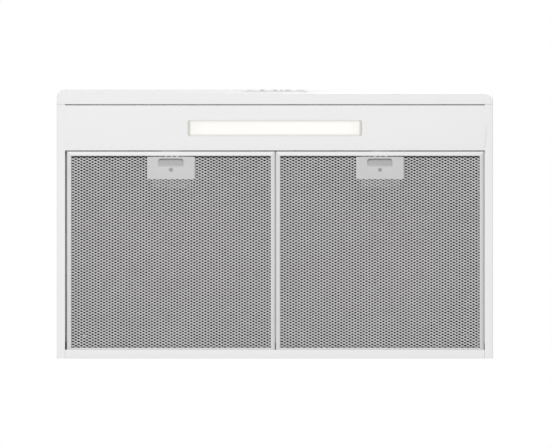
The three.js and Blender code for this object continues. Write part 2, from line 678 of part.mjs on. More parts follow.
// Fixed channel over the slide that the spring pushes back against
function latchGuide() {
  const inner = SLIDE_WIDTH / 2 + LATCH_CLEARANCE;
  const y = [fromFilterFront(FILTER_RIM + 1), fromFilterFront(GUIDE_END)];
  const top = SLIDE_Z[0] + GUIDE_HEIGHT;
  const channel = block([-inner - LATCH_METAL, inner + LATCH_METAL], y, [SLIDE_Z[0], top]);
  const hollow = block([-inner, inner], [y[0] - 1, y[1] - LATCH_METAL], [SLIDE_Z[0] - 1, top - LATCH_METAL]);
  return channel.subtract(hollow);
}

class Helix extends THREE.Curve {
  constructor(radius, length, turns) {
    super();
    Object.assign(this, { radius, length, turns });
  }

  getPoint(t, target = new THREE.Vector3()) {
    const angle = t * this.turns * Math.PI * 2;
    return target.set(Math.cos(angle) * this.radius, t * this.length, Math.sin(angle) * this.radius);
  }
}

function latchSpring() {
  const start = SLIDE_END + SPRING_WIRE + TOUCH_GAP;
  const length = GUIDE_END - LATCH_METAL - SPRING_WIRE - TOUCH_GAP - start;
  const wire = new THREE.Shape();
  wire.absarc(0, 0, SPRING_WIRE, 0, Math.PI * 2, false);
  const path = new Helix(SPRING_RADIUS, length, SPRING_TURNS);
  const steps = SPRING_TURNS * 9;
  const coil = new THREE.ExtrudeGeometry(wire, {
    extrudePath: path, steps, curveSegments: 3, bevelEnabled: false,
  });
  coil.translate(0, fromFilterFront(start), SLIDE_Z[0] + SPRING_RADIUS + SPRING_WIRE);
  return toSolid(coil);
}

function addFilter(name, x) {
  const filter = new THREE.Group();
  filter.position.set(x, HINGE_Y, HINGE_Z);
  hood.add(filter);
  place(`${name}_filter_frame`, filterFrame(), aluminium, filter);
  place(`${name}_filter_lower_mesh`, lowerMesh(), meshMetal, filter);
  place(`${name}_filter_upper_mesh`, filterMesh(UPPER_MESH), meshMetal, filter);
  place(`${name}_latch_guide`, latchGuide(), galvanised, filter);
  place(`${name}_latch_plate`, latchPlate(), aluminium, filter);
  place(`${name}_latch_slide`, latchSlide(), galvanised, filter);
  place(`${name}_latch_rivet`, latchRivet(), steel, filter);
  place(`${name}_latch_spring`, latchSpring(), steel, filter);
}

// ---------- Blower ----------

// Spiral that grows from the tongue round to the right, then runs back to the duct
function scrollOutline(grow) {
  const shape = new THREE.Shape();
  const start = THREE.MathUtils.degToRad(SCROLL_TONGUE_DEG);
  const steps = 24;
  for (let step = 0; step <= steps; step += 1) {
    const t = step / steps;
    const angle = start + (Math.PI * 2 - start) * t;
    const radius = SCROLL_CUTOFF + (SCROLL_WIDEST - SCROLL_CUTOFF) * t + grow;
    const x = BLOWER_X + Math.cos(angle) * radius;
    const y = BLOWER_Y + Math.sin(angle) * radius;
    if (step === 0) shape.moveTo(x, y);
    else shape.lineTo(x, y);
  }
  const right = BLOWER_X + SCROLL_WIDEST + grow;
  const left = -DUCT_WIDTH / 2 - grow;
  const back = DUCT_Y + DUCT_DEPTH / 2 + grow;
  shape.lineTo(right, back);
  shape.lineTo(left, back);
  shape.lineTo(left, DUCT_Y - DUCT_DEPTH / 2);
  return shape;
}

function scrollEars() {
  const reach = SCROLL_EAR;
  const pastCollar = COLLAR_FLANGE + SCREW_HEAD_RADIUS + 2 * COLLAR_FIT;
  const front = BLOWER_Y - SCROLL_EAR;
  const right = BLOWER_X + SCROLL_WIDEST;
  const left = -DUCT_WIDTH / 2;
  return [
    [left - pastCollar, DUCT_Y], [DUCT_WIDTH / 2 + pastCollar, DUCT_Y],
    [BLOWER_X - SCROLL_CUTOFF - reach, front], [right + reach / 2, front],
  ];
}

function blowerScroll() {
  const skin = [SCROLL_BOTTOM + SCROLL_METAL + TOUCH_GAP, SCROLL_TOP];
  const wall = prism(scrollOutline(SCROLL_METAL), skin).subtract(
    prism(scrollOutline(0), [SCROLL_BOTTOM - 1, SCROLL_TOP - SCROLL_METAL]),
  );
  const half = SCROLL_EAR / 2;
  const ears = scrollEars().map(([x, y], index) => block(
    index % 2 ? [x - half - SCROLL_EAR_ROOT, x + half] : [x - half, x + half + SCROLL_EAR_ROOT],
    [y - half, y + half], [SCROLL_TOP - SCROLL_METAL, SCROLL_TOP],
  ));
  const outlet = block(
    [-DUCT_WIDTH / 2 + COLLAR_FIT, DUCT_WIDTH / 2 - COLLAR_FIT],
    [DUCT_Y - DUCT_DEPTH / 2 + COLLAR_FIT, DUCT_Y + DUCT_DEPTH / 2 - COLLAR_FIT],
    [SCROLL_TOP - 2 * SCROLL_METAL, SCROLL_TOP + 1],
  );
  const holes = scrollEars().map((at) => disc(
    SCREW_RADIUS + SCREW_FIT, [SCROLL_TOP - 2 * SCROLL_METAL, SCROLL_TOP + 1], at, 12,
  ));
  return [outlet, ...holes].reduce((part, hole) => part.subtract(hole), join(wall, ...ears));
}

function bracketScrewSpots() {
  const radius = BRACKET_REACH - BRACKET_ARM_WIDTH / 4;
  return Array.from({ length: BRACKET_ARMS }, (_, index) => {
    const angle = Math.PI / 2 + (index * Math.PI * 2) / BRACKET_ARMS;
    return [BLOWER_X + Math.cos(angle) * radius, BLOWER_Y + Math.sin(angle) * radius];
  });
}

function inletPlate() {
  const z = [SCROLL_BOTTOM, SCROLL_BOTTOM + SCROLL_METAL];
  const at = [BLOWER_X, BLOWER_Y];
  const plate = prism(scrollOutline(SCROLL_METAL), z);
  const collar = disc(INLET_RADIUS + SCROLL_METAL, [z[0], z[1] + INLET_LIP], at, 40);
  const hole = disc(INLET_RADIUS, [z[0] - 1, z[1] + INLET_LIP + 1], at, 40);
  const screws = bracketScrewSpots().map((spot) => disc(
    SCREW_RADIUS + SCREW_FIT, [z[0] - 1, z[1] + 1], spot, 12,
  ));
  return [hole, ...screws].reduce((part, cut) => part.subtract(cut), plate.add(collar));
}

const BRACKET_TOP = SCROLL_BOTTOM - TOUCH_GAP;
const BRACKET_Z = [BRACKET_TOP - BRACKET_METAL, BRACKET_TOP];

function motorBracket() {
  const spoke = new THREE.BoxGeometry(BRACKET_REACH - BRACKET_RING / 2, BRACKET_ARM_WIDTH, BRACKET_METAL);
  spoke.translate((BRACKET_REACH + BRACKET_RING / 2) / 2, 0, (BRACKET_Z[0] + BRACKET_Z[1]) / 2);
  const arms = Array.from({ length: BRACKET_ARMS }, (_, index) => {
    const arm = spoke.clone();
    arm.rotateZ(Math.PI / 2 + (index * Math.PI * 2) / BRACKET_ARMS);
    arm.translate(BLOWER_X, BLOWER_Y, 0);
    return toSolid(arm);
  });
  const ring = disc(BRACKET_RING, BRACKET_Z, [BLOWER_X, BLOWER_Y], 32);
  const holes = bracketScrewSpots().map((spot) => disc(
    SCREW_RADIUS + SCREW_FIT, [BRACKET_Z[0] - 1, BRACKET_Z[1] + 1], spot, 12,
  ));
  return holes.reduce((part, hole) => part.subtract(hole), join(ring, ...arms));
}

const MOTOR_BOTTOM = BRACKET_TOP + TOUCH_GAP;
const MOTOR_TOP = MOTOR_BOTTOM + MOTOR_LENGTH;
const WHEEL_TOP = SCROLL_TOP - SCROLL_METAL - WHEEL_BELOW_SCROLL;

function blowerMotor() {
  const bore = SHAFT_RADIUS + SHAFT_FIT;
  const shoulder = MOTOR_RADIUS - MOTOR_SHOULDER;
  const shoulderTop = MOTOR_TOP - MOTOR_BOSS_HEIGHT;
  return turned([
    [0, MOTOR_BOTTOM], [shoulder, MOTOR_BOTTOM], [MOTOR_RADIUS, MOTOR_BOTTOM + MOTOR_LOWER_TAPER],
    [MOTOR_RADIUS, MOTOR_TOP - MOTOR_UPPER_TAPER], [shoulder, shoulderTop],
    [bore + MOTOR_BOSS_WALL, shoulderTop], [bore + MOTOR_BOSS_WALL - MOTOR_BOSS_TAPER, MOTOR_TOP], [bore, MOTOR_TOP],
    [bore, MOTOR_TOP - BEARING_DEPTH], [0, MOTOR_TOP - BEARING_DEPTH],
  ]);
}

function motorShaft() {
  return disc(SHAFT_RADIUS, [MOTOR_TOP - BEARING_DEPTH + 1, WHEEL_TOP + SHAFT_PAST_WHEEL], [0, 0], 16);
}

function wheelNut() {
  const z = WHEEL_TOP + TOUCH_GAP;
  return disc(2 * SHAFT_RADIUS, [z, z + SHAFT_RADIUS], [0, 0], 6).subtract(
    disc(SHAFT_RADIUS + SHAFT_FIT, [z - 1, z + SHAFT_RADIUS + 1], [0, 0], 16),
  );
}

function wheelBlade() {
  const inner = WHEEL_RADIUS - BLADE_CHORD;
  const bow = BLADE_CHORD / 3;
  const blade = new THREE.Shape();
  blade.moveTo(inner, 0);
  blade.quadraticCurveTo(inner + BLADE_CHORD / 2, -bow, WHEEL_RADIUS - 1, bow);
  blade.lineTo(WHEEL_RADIUS - 1, bow + BLADE_METAL);
  blade.quadraticCurveTo(inner + BLADE_CHORD / 2, -bow + BLADE_METAL, inner, BLADE_METAL);
  blade.closePath();
  return prism(blade, [WHEEL_TOP - WHEEL_HEIGHT + 0.5, WHEEL_TOP - 0.5], 3);
}

function blowerWheel() {
  const low = WHEEL_TOP - WHEEL_HEIGHT;
  const rimInner = WHEEL_RADIUS - BLADE_CHORD;
  const disk = turned([
    [0, WHEEL_TOP - BLADE_METAL * 2], [WHEEL_RADIUS, WHEEL_TOP - BLADE_METAL * 2],
    [WHEEL_RADIUS, WHEEL_TOP], [0, WHEEL_TOP],
  ], 40);
  const rim = turned([
    [rimInner, low], [WHEEL_RADIUS, low], [WHEEL_RADIUS, low + 2], [rimInner, low + 2], [rimInner, low],
  ], 40);
  const hub = disc(HUB_RADIUS, [WHEEL_TOP - HUB_HEIGHT, WHEEL_TOP]);
  const blade = wheelBlade();
  const blades = Array.from(
    { length: BLADE_COUNT }, (_, index) => blade.rotate([0, 0, (360 * index) / BLADE_COUNT]),
  );
  const bore = disc(SHAFT_RADIUS + SHAFT_FIT, [WHEEL_TOP - HUB_HEIGHT - 1, WHEEL_TOP + 1], [0, 0], 16);
  return join(disk, rim, hub, ...blades).subtract(bore);
}

// A screw standing on its head, with the shank going up from z = 0
function screwUp(shank) {
  return disc(SCREW_HEAD_RADIUS, [-SCREW_HEAD_HEIGHT, 0], [0, 0], 6).add(
    disc(SCREW_RADIUS, [-SCREW_HEAD_HEIGHT / 2, shank], [0, 0], 12),
  );
}

// ---------- Duct collar and damper ----------

const COLLAR_HALF_X = DUCT_WIDTH / 2 - COLLAR_FIT;
const COLLAR_HALF_Y = DUCT_DEPTH / 2 - COLLAR_FIT;
const PIN_Y = DUCT_Y - COLLAR_HALF_Y + COLLAR_METAL + CURL_RADIUS + 1;

function ductCollar() {
  const ring = (grow) => [
    [-COLLAR_HALF_X - grow, COLLAR_HALF_X + grow],
    [DUCT_Y - COLLAR_HALF_Y - grow, DUCT_Y + COLLAR_HALF_Y + grow],
  ];
  const flange = [COLLAR_FLANGE_TOP - COLLAR_METAL, COLLAR_FLANGE_TOP];
  const tube = block(...ring(0), [flange[0], COLLAR_HEIGHT]).add(block(...ring(COLLAR_FLANGE), flange));
  const pinHole = rodAlongX(PIN_RADIUS + PIN_FIT, [-DUCT_WIDTH, DUCT_WIDTH], [PIN_Y, FLAP_LIFT], 12);
  return tube.subtract(block(...ring(-COLLAR_METAL), [flange[0] - 1, COLLAR_HEIGHT + 1])).subtract(pinHole);
}

function damperFlap() {
  const half = COLLAR_HALF_X - COLLAR_METAL - FLAP_FIT;
  const back = DUCT_Y + COLLAR_HALF_Y - COLLAR_METAL - FLAP_FIT;
  const low = FLAP_LIFT - CURL_RADIUS;
  const plate = block([-half, half], [PIN_Y, back], [low, low + FLAP_METAL]);
  const curl = rodAlongX(CURL_RADIUS, [-half, half], [PIN_Y, FLAP_LIFT]);
  const bore = rodAlongX(PIN_RADIUS + PIN_FIT, [-half - 1, half + 1], [PIN_Y, FLAP_LIFT], 12);
  return plate.add(curl).subtract(bore);
}

function damperPin() {
  return rodAlongX(PIN_RADIUS, [-COLLAR_HALF_X - 0.5, COLLAR_HALF_X + 0.5], [PIN_Y, FLAP_LIFT], 12);
}

// ---------- Wiring compartment ----------

const WIRING_SPAN = [
  [WIRING_X - WIRING_BOX.width / 2, WIRING_X + WIRING_BOX.width / 2],
  [WIRING_Y - WIRING_BOX.depth / 2, WIRING_Y + WIRING_BOX.depth / 2],
];
const WIRING_TOP = UNDER_TOP - SHEET - TOUCH_GAP;
const WIRING_BOTTOM = WIRING_TOP - WIRING_BOX.height;
const WIRING_SCREW = [WIRING_SPAN[0][0] + SHEET + WIRING_BOSS.reach / 2, WIRING_Y];

function wiringBox() {
  const [x, y] = WIRING_SPAN;
  const shell = block(x, y, [WIRING_BOTTOM, WIRING_TOP]).subtract(block(
    [x[0] + SHEET, x[1] - SHEET], [y[0] + SHEET, y[1] - SHEET], [WIRING_BOTTOM - 1, WIRING_TOP - SHEET],
  ));
  const boss = block(
    [x[0] + SHEET / 2, x[0] + WIRING_BOSS.reach], [WIRING_Y - WIRING_BOSS.half, WIRING_Y + WIRING_BOSS.half],
    [WIRING_BOTTOM, WIRING_BOTTOM + WIRING_BOSS.height],
  );
  const screwHole = disc(
    SCREW_RADIUS + SCREW_FIT, [WIRING_BOTTOM - 1, WIRING_BOTTOM + WIRING_BOSS.height + 1], WIRING_SCREW, 12,
  );
  const inlet = disc(WIRING_HOLE_RADIUS, [WIRING_TOP - 2 * SHEET, WIRING_TOP + 1], [WIRING_X, WIRING_Y], 24);
  return join(shell, boss).subtract(screwHole).subtract(inlet);
}

function wiringCover() {
  const z = [WIRING_BOTTOM - TOUCH_GAP - SHEET, WIRING_BOTTOM - TOUCH_GAP];
  const hole = disc(SCREW_RADIUS + SCREW_FIT, [z[0] - 1, z[1] + 1], WIRING_SCREW, 12);
  return block(...WIRING_SPAN, z).subtract(hole);
}

function cableBushing() {
  const outer = WIRING_HOLE_RADIUS - TOUCH_GAP;
  const floor = WIRING_TOP - SHEET - TOUCH_GAP;
  return turned([
    [BUSHING_BORE, 0], [BUSHING_BORE, floor - BUSHING_LIP], [outer + BUSHING_LIP, floor - BUSHING_LIP],
    [outer + BUSHING_LIP, floor], [outer, floor], [outer, 0], [BUSHING_BORE, 0],
  ], 24);
}

// ---------- Assembly ----------

const leftFilterX = -OPENING_HALF + FILTER_GAP_LEFT + FILTER_WIDTH / 2;
const rightFilterX = OPENING_HALF - FILTER_GAP_RIGHT - FILTER_WIDTH / 2;

place('front_panel', frontPanel(), whitePaint);
place('left_side_panel', sidePanel(-1), whitePaint);
place('right_side_panel', sidePanel(1), whitePaint);
place('rear_panel', rearPanel(), whitePaint);
place('top_panel', topPanel(), whitePaint);
place('light_panel', lightPanel([leftFilterX, rightFilterX]), whitePaint);

place('light_lens', lightLens(), frosted);
place('light_housing', lightHousing(), galvanised);
place('led_board', ledBoard(), whiteBoard);
place('led_driver', hungUnit(DRIVER, [DRIVER.x, FRONT + DRIVER.fromFront], 3), greyPlastic);
studXs().forEach((x, index) => {
  place(`light_housing_nut_${['left', 'right'][index]}`, housingNut(), steel, hood, [x, LENS_Y, 0]);
});

place('control_bezel', controlBezel(), greyPlastic);
place('switch_block', switchBlock(), blackPlastic);
BUTTON_NAMES.forEach((name, index) => {
  place(name, pushButton(), greyPlastic, hood, [buttonX(index), 0, -BUTTON_DROP]);
});

addFilter('left', leftFilterX);
addFilter('right', rightFilterX);

const blowerAxis = [BLOWER_X, BLOWER_Y, 0];
place('blower_scroll', blowerScroll(), galvanised);
place('blower_inlet_plate', inletPlate(), galvanised);
place('blower_wheel', blowerWheel(), galvanised, hood, blowerAxis);
place('wheel_nut', wheelNut(), steel, hood, blowerAxis);
place('motor_shaft', motorShaft(), steel, hood, blowerAxis);
place('blower_motor', blowerMotor(), steel, hood, blowerAxis);
place('motor_bracket', motorBracket(), galvanised);
place('run_capacitor', hungUnit(CAPACITOR, [CAPACITOR.x, CAPACITOR.y], 6), blackPlastic);
bracketScrewSpots().forEach((spot, index) => {
  const shank = BRACKET_METAL + SCROLL_METAL + BRACKET_SCREW_PAST;
  place(`motor_bracket_screw_${index + 1}`, screwUp(shank), steel, hood, [...spot, BRACKET_Z[0] - TOUCH_GAP]);
});
scrollEars().forEach((spot, index) => {
  const headTop = SCROLL_TOP - SCROLL_METAL - TOUCH_GAP;
  place(`blower_screw_${index + 1}`, screwUp(UNDER_TOP - headTop), steel, hood, [...spot, headTop]);
});

place('duct_collar', ductCollar(), galvanised);
place('damper_flap', damperFlap(), galvanised);
place('damper_pin', damperPin(), steel);

place('wiring_box', wiringBox(), galvanised);
place('wiring_cover', wiringCover(), galvanised);
const coverScrewZ = WIRING_BOTTOM - 2 * TOUCH_GAP - SHEET;
place('wiring_cover_screw', screwUp(WIRING_SCREW_LENGTH), steel, hood, [...WIRING_SCREW, coverScrewZ]);
place('cable_bushing', cableBushing(), blackPlastic, hood, [WIRING_X, WIRING_Y, 0]);

export default hood;
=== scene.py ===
# Under cabinet range hood in white powder-coated sheet steel, seen from underneath.
# Metres; X runs across the hood, -Y faces the cook and +Z is up, with the top face at zero.
import json
import math

import bmesh
import bpy
from mathutils import Matrix, Vector


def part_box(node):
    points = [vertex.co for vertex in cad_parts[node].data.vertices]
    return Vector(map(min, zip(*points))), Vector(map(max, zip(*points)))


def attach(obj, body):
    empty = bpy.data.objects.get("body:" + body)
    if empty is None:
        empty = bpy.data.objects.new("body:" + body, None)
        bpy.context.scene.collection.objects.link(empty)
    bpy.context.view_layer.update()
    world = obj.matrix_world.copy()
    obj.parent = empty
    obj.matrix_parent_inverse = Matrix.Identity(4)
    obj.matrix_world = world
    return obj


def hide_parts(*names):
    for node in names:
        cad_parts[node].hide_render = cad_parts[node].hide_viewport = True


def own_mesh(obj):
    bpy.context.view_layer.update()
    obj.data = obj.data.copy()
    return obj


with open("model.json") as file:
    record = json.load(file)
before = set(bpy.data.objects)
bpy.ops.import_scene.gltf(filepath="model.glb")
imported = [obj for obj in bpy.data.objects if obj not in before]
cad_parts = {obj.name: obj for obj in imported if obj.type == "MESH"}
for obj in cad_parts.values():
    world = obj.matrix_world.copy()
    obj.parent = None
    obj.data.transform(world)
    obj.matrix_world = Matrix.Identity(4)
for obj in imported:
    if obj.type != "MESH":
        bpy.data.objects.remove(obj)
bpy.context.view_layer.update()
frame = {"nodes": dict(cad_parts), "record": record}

# ---------------------------------------------------------------- Studio
# A pale floor far below the hood, a white surround that shines most from the front and the
# left, and two soft lamps. The camera looks up from below and leans a little towards the front, so
# that the front shows as a strip.
CAMERA_LEAN = math.radians(3.45)
CAMERA_FIELD = 0.9599
CAMERA_ASIDE = 0.002
CAMERA_SHORT = -0.0037
CAMERA_DISTANCE = 1.4
FLOOR_DROP = -2.2


def let_go():
    """Deselect everything."""
    bpy.ops.object.select_all(action="DESELECT")


lean_up = Vector((0, -math.cos(CAMERA_LEAN), math.sin(CAMERA_LEAN)))
lean_back = Vector((0, -math.sin(CAMERA_LEAN), -math.cos(CAMERA_LEAN)))
let_go()
bpy.ops.object.camera_add()
camera = bpy.context.active_object
camera.name = "camera"
camera.data.type = "ORTHO"
camera.data.ortho_scale = CAMERA_FIELD
camera.data.clip_end = 20
camera.matrix_world = Matrix.Translation(
    Vector((CAMERA_ASIDE, 0, 0)) + lean_up * CAMERA_SHORT + lean_back * CAMERA_DISTANCE
) @ Matrix((Vector((1, 0, 0)), lean_up, lean_back)).transposed().to_4x4()
bpy.context.scene.camera = camera

bpy.context.scene.view_settings.view_transform = "Standard"
SURROUND_EVEN = 0.90
SURROUND_LEAN = (-0.15, -0.20, 0.0)


def node(tree, kind, inputs=None, **settings):
    """Add one shader node; each input is a number, a colour or another node's output."""
    made = tree.nodes.new(kind)
    for name, value in settings.items():
        setattr(made, name, value)
    for name, value in (inputs or {}).items():
        if isinstance(value, bpy.types.NodeSocket):
            tree.links.new(value, made.inputs[name])
        else:
            made.inputs[name].default_value = value
    return made


surround = bpy.data.worlds.new("white_surround")
surround.use_nodes = True
web = surround.node_tree
direction = node(web, "ShaderNodeTexCoord").outputs["Generated"]
lean = node(web, "ShaderNodeVectorMath", {0: direction, 1: SURROUND_LEAN}, operation="DOT_PRODUCT")
shone = node(web, "ShaderNodeMath", {0: lean.outputs["Value"], 1: SURROUND_EVEN}, operation="ADD")
seen = node(web, "ShaderNodeLightPath").outputs["Is Camera Ray"]
strength = node(web, "ShaderNodeMix", {"Factor": seen, "A": shone.outputs[0], "B": 1.0})
backdrop = web.nodes["Background"]
backdrop.inputs["Color"].default_value = (1, 1, 1, 1)
web.links.new(strength.outputs["Result"], backdrop.inputs["Strength"])
bpy.context.scene.world = surround


def add_lamp(name, place, target, size, power):
    bpy.ops.object.light_add(type="AREA", location=place)
    lamp = bpy.context.active_object
    lamp.name = name
    lamp.data.shape = "DISK"
    lamp.data.size = size
    lamp.data.energy = power
    lamp.visible_camera = False
    lamp.rotation_euler = (Vector(target) - Vector(place)).to_track_quat("-Z", "Y").to_euler()


add_lamp("under_softbox", (-0.25, -0.40, -1.9), (0, 0, -0.1), 2.4, 11.5)
add_lamp("top_softbox", (0.7, -0.9, 2.2), (0, 0, 0), 1.4, 6)


# ---------------------------------------------------------------- White powder coat
# Sprayed and baked polyester powder on zinc coated steel: satin white with a faint orange peel. Its
# edges are painted a little brighter, as a painted highlight, and made a little glossier.
def between(tree, amount, first, second):
    """A number that runs from first to second as the amount goes from nothing to one."""
    return node(
        tree, "ShaderNodeMapRange", {"Value": amount, "To Min": first, "To Max": second}
    ).outputs["Result"]


def mixed(tree, amount, first, second, **settings):
    """A colour that runs from first to second as the amount goes from nothing to one."""
    return node(
        tree, "ShaderNodeMix", {0: amount, 6: first, 7: second}, data_type="RGBA", **settings
    ).outputs[2]


def worked_out(tree, operation, first, second=0.0, **settings):
    """The result of one piece of arithmetic on numbers or other nodes' outputs."""
    return node(tree, "ShaderNodeMath", {0: first, 1: second}, operation=operation, **settings).outputs[0]


def own_place(tree):
    return node(tree, "ShaderNodeTexCoord").outputs["Object"]


def new_group(name, inputs, outputs):
    """A shader node group with its sockets, and its two end nodes."""
    group = bpy.data.node_groups.new(name, "ShaderNodeTree")
    for socket, (kind, value) in inputs.items():
        made = group.interface.new_socket(name=socket, in_out="INPUT", socket_type=kind)
        made.default_value = value
    for socket, kind in outputs.items():
        group.interface.new_socket(name=socket, in_out="OUTPUT", socket_type=kind)
    return group, group.nodes.new("NodeGroupInput"), group.nodes.new("NodeGroupOutput")


def make_surface_grain():
    """Slow cloudiness and fine grain that every finish shares at its own scales."""
    group, start, end = new_group(
        "surface_grain",
        {"Cloud Scale": ("NodeSocketFloat", 12.0), "Grain Scale": ("NodeSocketFloat", 900.0)},
        {"Cloud": "NodeSocketFloat", "Grain": "NodeSocketFloat"},
    )
    place = own_place(group)
    for name, detail, rough in (("Cloud", 4.0, 0.6), ("Grain", 2.0, 0.5)):
        noise = node(group, "ShaderNodeTexNoise", {
            "Vector": place, "Scale": start.outputs[name + " Scale"], "Detail": detail, "Roughness": rough,
        })
        group.links.new(noise.outputs["Fac"], end.inputs[name])
    return group


def make_edge_wear_and_highlight():
    """Mask of the outer edges, broken up so that it isn't an even line: rubbed wear on most finishes, and a
    painted highlight on the powder coat.
    """
    group, start, end = new_group(
        "edge_wear_and_highlight",
        {"Radius": ("NodeSocketFloat", 0.0008), "Amount": ("NodeSocketFloat", 1.0)},
        {"Mask": "NodeSocketFloat"},
    )
    rounded = node(group, "ShaderNodeBevel", {"Radius": start.outputs["Radius"]}, samples=4)
    plain = node(group, "ShaderNodeNewGeometry")
    along = node(group, "ShaderNodeVectorMath", {
        0: rounded.outputs["Normal"], 1: plain.outputs["Normal"],
    }, operation="DOT_PRODUCT")
    turned = node(group, "ShaderNodeMapRange", {
        "Value": along.outputs["Value"], "From Min": 0.998, "From Max": 0.86,
    })
    breakup = node(group, "ShaderNodeTexNoise", {"Vector": own_place(group), "Scale": 70.0, "Detail": 5.0})
    patchy = node(group, "ShaderNodeMapRange", {
        "Value": breakup.outputs["Fac"], "From Min": 0.35, "From Max": 0.65,
    })
    wear_and_highlight = worked_out(group, "MULTIPLY", turned.outputs["Result"], patchy.outputs["Result"])
    scaled = worked_out(group, "MULTIPLY", wear_and_highlight, start.outputs["Amount"], use_clamp=True)
    group.links.new(scaled, end.inputs["Mask"])
    return group


surface_grain = make_surface_grain()
edge_wear_and_highlight = make_edge_wear_and_highlight()


def grain_of(tree, cloud, grain):
    scales = {"Cloud Scale": cloud, "Grain Scale": grain}
    made = node(tree, "ShaderNodeGroup", scales, node_tree=surface_grain)
    return made.outputs["Cloud"], made.outputs["Grain"]


def wear_and_highlight_of(tree, radius, amount):
    wear_and_highlight = {"Radius": radius, "Amount": amount}
    return node(tree, "ShaderNodeGroup", wear_and_highlight, node_tree=edge_wear_and_highlight).outputs["Mask"]


def new_finish(name, metallic=0.0):
    """An empty material and its Principled shader."""
    finish = bpy.data.materials.new(name)
    finish.use_nodes = True
    shader = finish.node_tree.nodes["Principled BSDF"]
    shader.inputs["Metallic"].default_value = metallic
    return finish, finish.node_tree, shader


def dress(tree, shader, colour, rough, height, strength, distance):
    """Give the shader its colour and roughness, and a relief of this height."""
    tree.links.new(colour, shader.inputs["Base Color"])
    tree.links.new(rough, shader.inputs["Roughness"])
    relief = node(tree, "ShaderNodeBump", {"Height": height, "Strength": strength, "Distance": distance})
    tree.links.new(relief.outputs["Normal"], shader.inputs["Normal"])


def make_powder_coat(name, light, shade, wear_and_highlight):
    finish, tree, shader = new_finish(name)
    cloud, grain = grain_of(tree, 9.0, 1100.0)
    wear = wear_and_highlight_of(tree, 0.0009, 0.6)
    # Painted highlight: the edges are painted brighter than the coat; the same mask also makes them a little
    # glossier.
    colour = mixed(tree, wear, mixed(tree, cloud, shade, light), wear_and_highlight)
    polished = worked_out(tree, "MULTIPLY", wear, 0.12)
    rough = worked_out(tree, "SUBTRACT", between(tree, grain, 0.34, 0.44), polished)
    dress(tree, shader, colour, rough, grain, 0.12, 0.0002)
    shader.inputs["Coat Weight"].default_value = 0.15
    shader.inputs["Coat Roughness"].default_value = 0.2
    return finish


powder_coat = make_powder_coat(
    "white_powder_coat", (0.850, 0.850, 0.848, 1), (0.832, 0.833, 0.832, 1), (0.9, 0.9, 0.895, 1)
)


# ---------------------------------------------------------------- Front panel
# One sheet of 0.9 mm steel wrapped round both front corners, with a lip folded under it and
# a narrow flange at the top; the five button windows are punched before it is coated.
SHEET = 0.0009
OUTER_BEND = 0.0022
INNER_BEND = 0.0003
TOP_BEND = 0.0012
CORNER = 0.014
UPTURN = 0.010
TOP_FLANGE = 0.012
FULL_HEIGHT = 0.1
WINDOW_ROOM = 0.0005
NEAR = 0.00005


def only(piece):
    """Select one piece and nothing else."""
    let_go()
    piece.select_set(True)
    bpy.context.view_layer.objects.active = piece


def edit(piece):
    only(piece)
    bpy.ops.object.mode_set(mode="EDIT")
    bpy.ops.mesh.select_mode(type="FACE")
    bpy.ops.mesh.select_all(action="DESELECT")


def close():
    bpy.ops.object.mode_set(mode="OBJECT")


def pick(mode, test):
    """Select what passes the test in the piece being edited: faces by middle and normal,
    edges by their two ends, corners by their place. Returns how many were selected."""
    bpy.ops.mesh.select_mode(type=mode)
    bpy.ops.mesh.select_all(action="DESELECT")
    mesh = bpy.context.active_object.data
    shape = bmesh.from_edit_mesh(mesh)
    if mode == "FACE":
        found = [face for face in shape.faces if test(face.calc_center_median(), face.normal)]
    elif mode == "EDGE":
        found = [edge for edge in shape.edges if test(edge.verts[0].co, edge.verts[1].co)]
    else:
        found = [corner for corner in shape.verts if test(corner.co)]
    for part in found:
        part.select_set(True)
    bmesh.update_edit_mesh(mesh)
    return len(found)


def ends_at(**place):
    """A test for edges: both ends have the coordinates that are given."""
    return lambda a, b: all(
        abs(getattr(end, axis) - value) < NEAR for end in (a, b) for axis, value in place.items()
    )


def weld(gap):
    bpy.ops.mesh.select_all(action="SELECT")
    bpy.ops.mesh.remove_doubles(threshold=gap)


def face_out():
    bpy.ops.mesh.select_all(action="SELECT")
    bpy.ops.mesh.normals_make_consistent(inside=False)


def drop(test):
    if pick("FACE", test):
        bpy.ops.mesh.delete(type="FACE")


def slice_faces(test, place, across):
    """Draw a line across the faces that pass the test."""
    if pick("FACE", test):
        bpy.ops.mesh.bisect(plane_co=place, plane_no=across)


def round_edges(test, radius, segments=3):
    if pick("EDGE", test):
        bpy.ops.mesh.bevel(offset=radius, segments=segments, affect="EDGES", clamp_overlap=True)


def soften(piece, test, radius, segments=3):
    """Round some edges of a piece that needs nothing else in edit mode."""
    edit(piece)
    round_edges(test, radius, segments)
    close()
    return piece


def fold_up(test, shift):
    """Extrude the picked edges, as a flange is folded from the edge of a sheet."""
    if pick("EDGE", test):
        bpy.ops.mesh.extrude_region_move(TRANSFORM_OT_translate={"value": shift})


def apply_modifier(piece, kind, **settings):
    only(piece)
    modifier = piece.modifiers.new(kind.lower(), kind)
    for name, value in settings.items():
        setattr(modifier, name, value)
    bpy.ops.object.modifier_apply(modifier=modifier.name)


def thicken(piece, gauge=SHEET, use_even_offset=True):
    apply_modifier(piece, "SOLIDIFY", thickness=gauge, offset=-1, use_even_offset=use_even_offset)


def settle():
    """Put the new piece's place into its mesh."""
    bpy.ops.object.transform_apply(location=True, rotation=True, scale=True)
    return bpy.context.active_object


def add_block(low, high):
    low, high = Vector(low), Vector(high)
    let_go()
    bpy.ops.mesh.primitive_cube_add(size=1, location=(low + high) / 2)
    bpy.context.active_object.scale = high - low
    return settle()


def add_rod(radius, start, end, sides=24):
    """A round bar between two points."""
    start, end = Vector(start), Vector(end)
    let_go()
    bpy.ops.mesh.primitive_cylinder_add(
        vertices=sides, radius=radius, depth=(end - start).length, location=(start + end) / 2,
        rotation=(end - start).to_track_quat("Z", "Y").to_euler(),
    )
    return settle()


def together(pieces):
    let_go()
    for piece in pieces:
        piece.select_set(True)
    bpy.context.view_layer.objects.active = pieces[0]
    bpy.ops.object.join()
    return pieces[0]


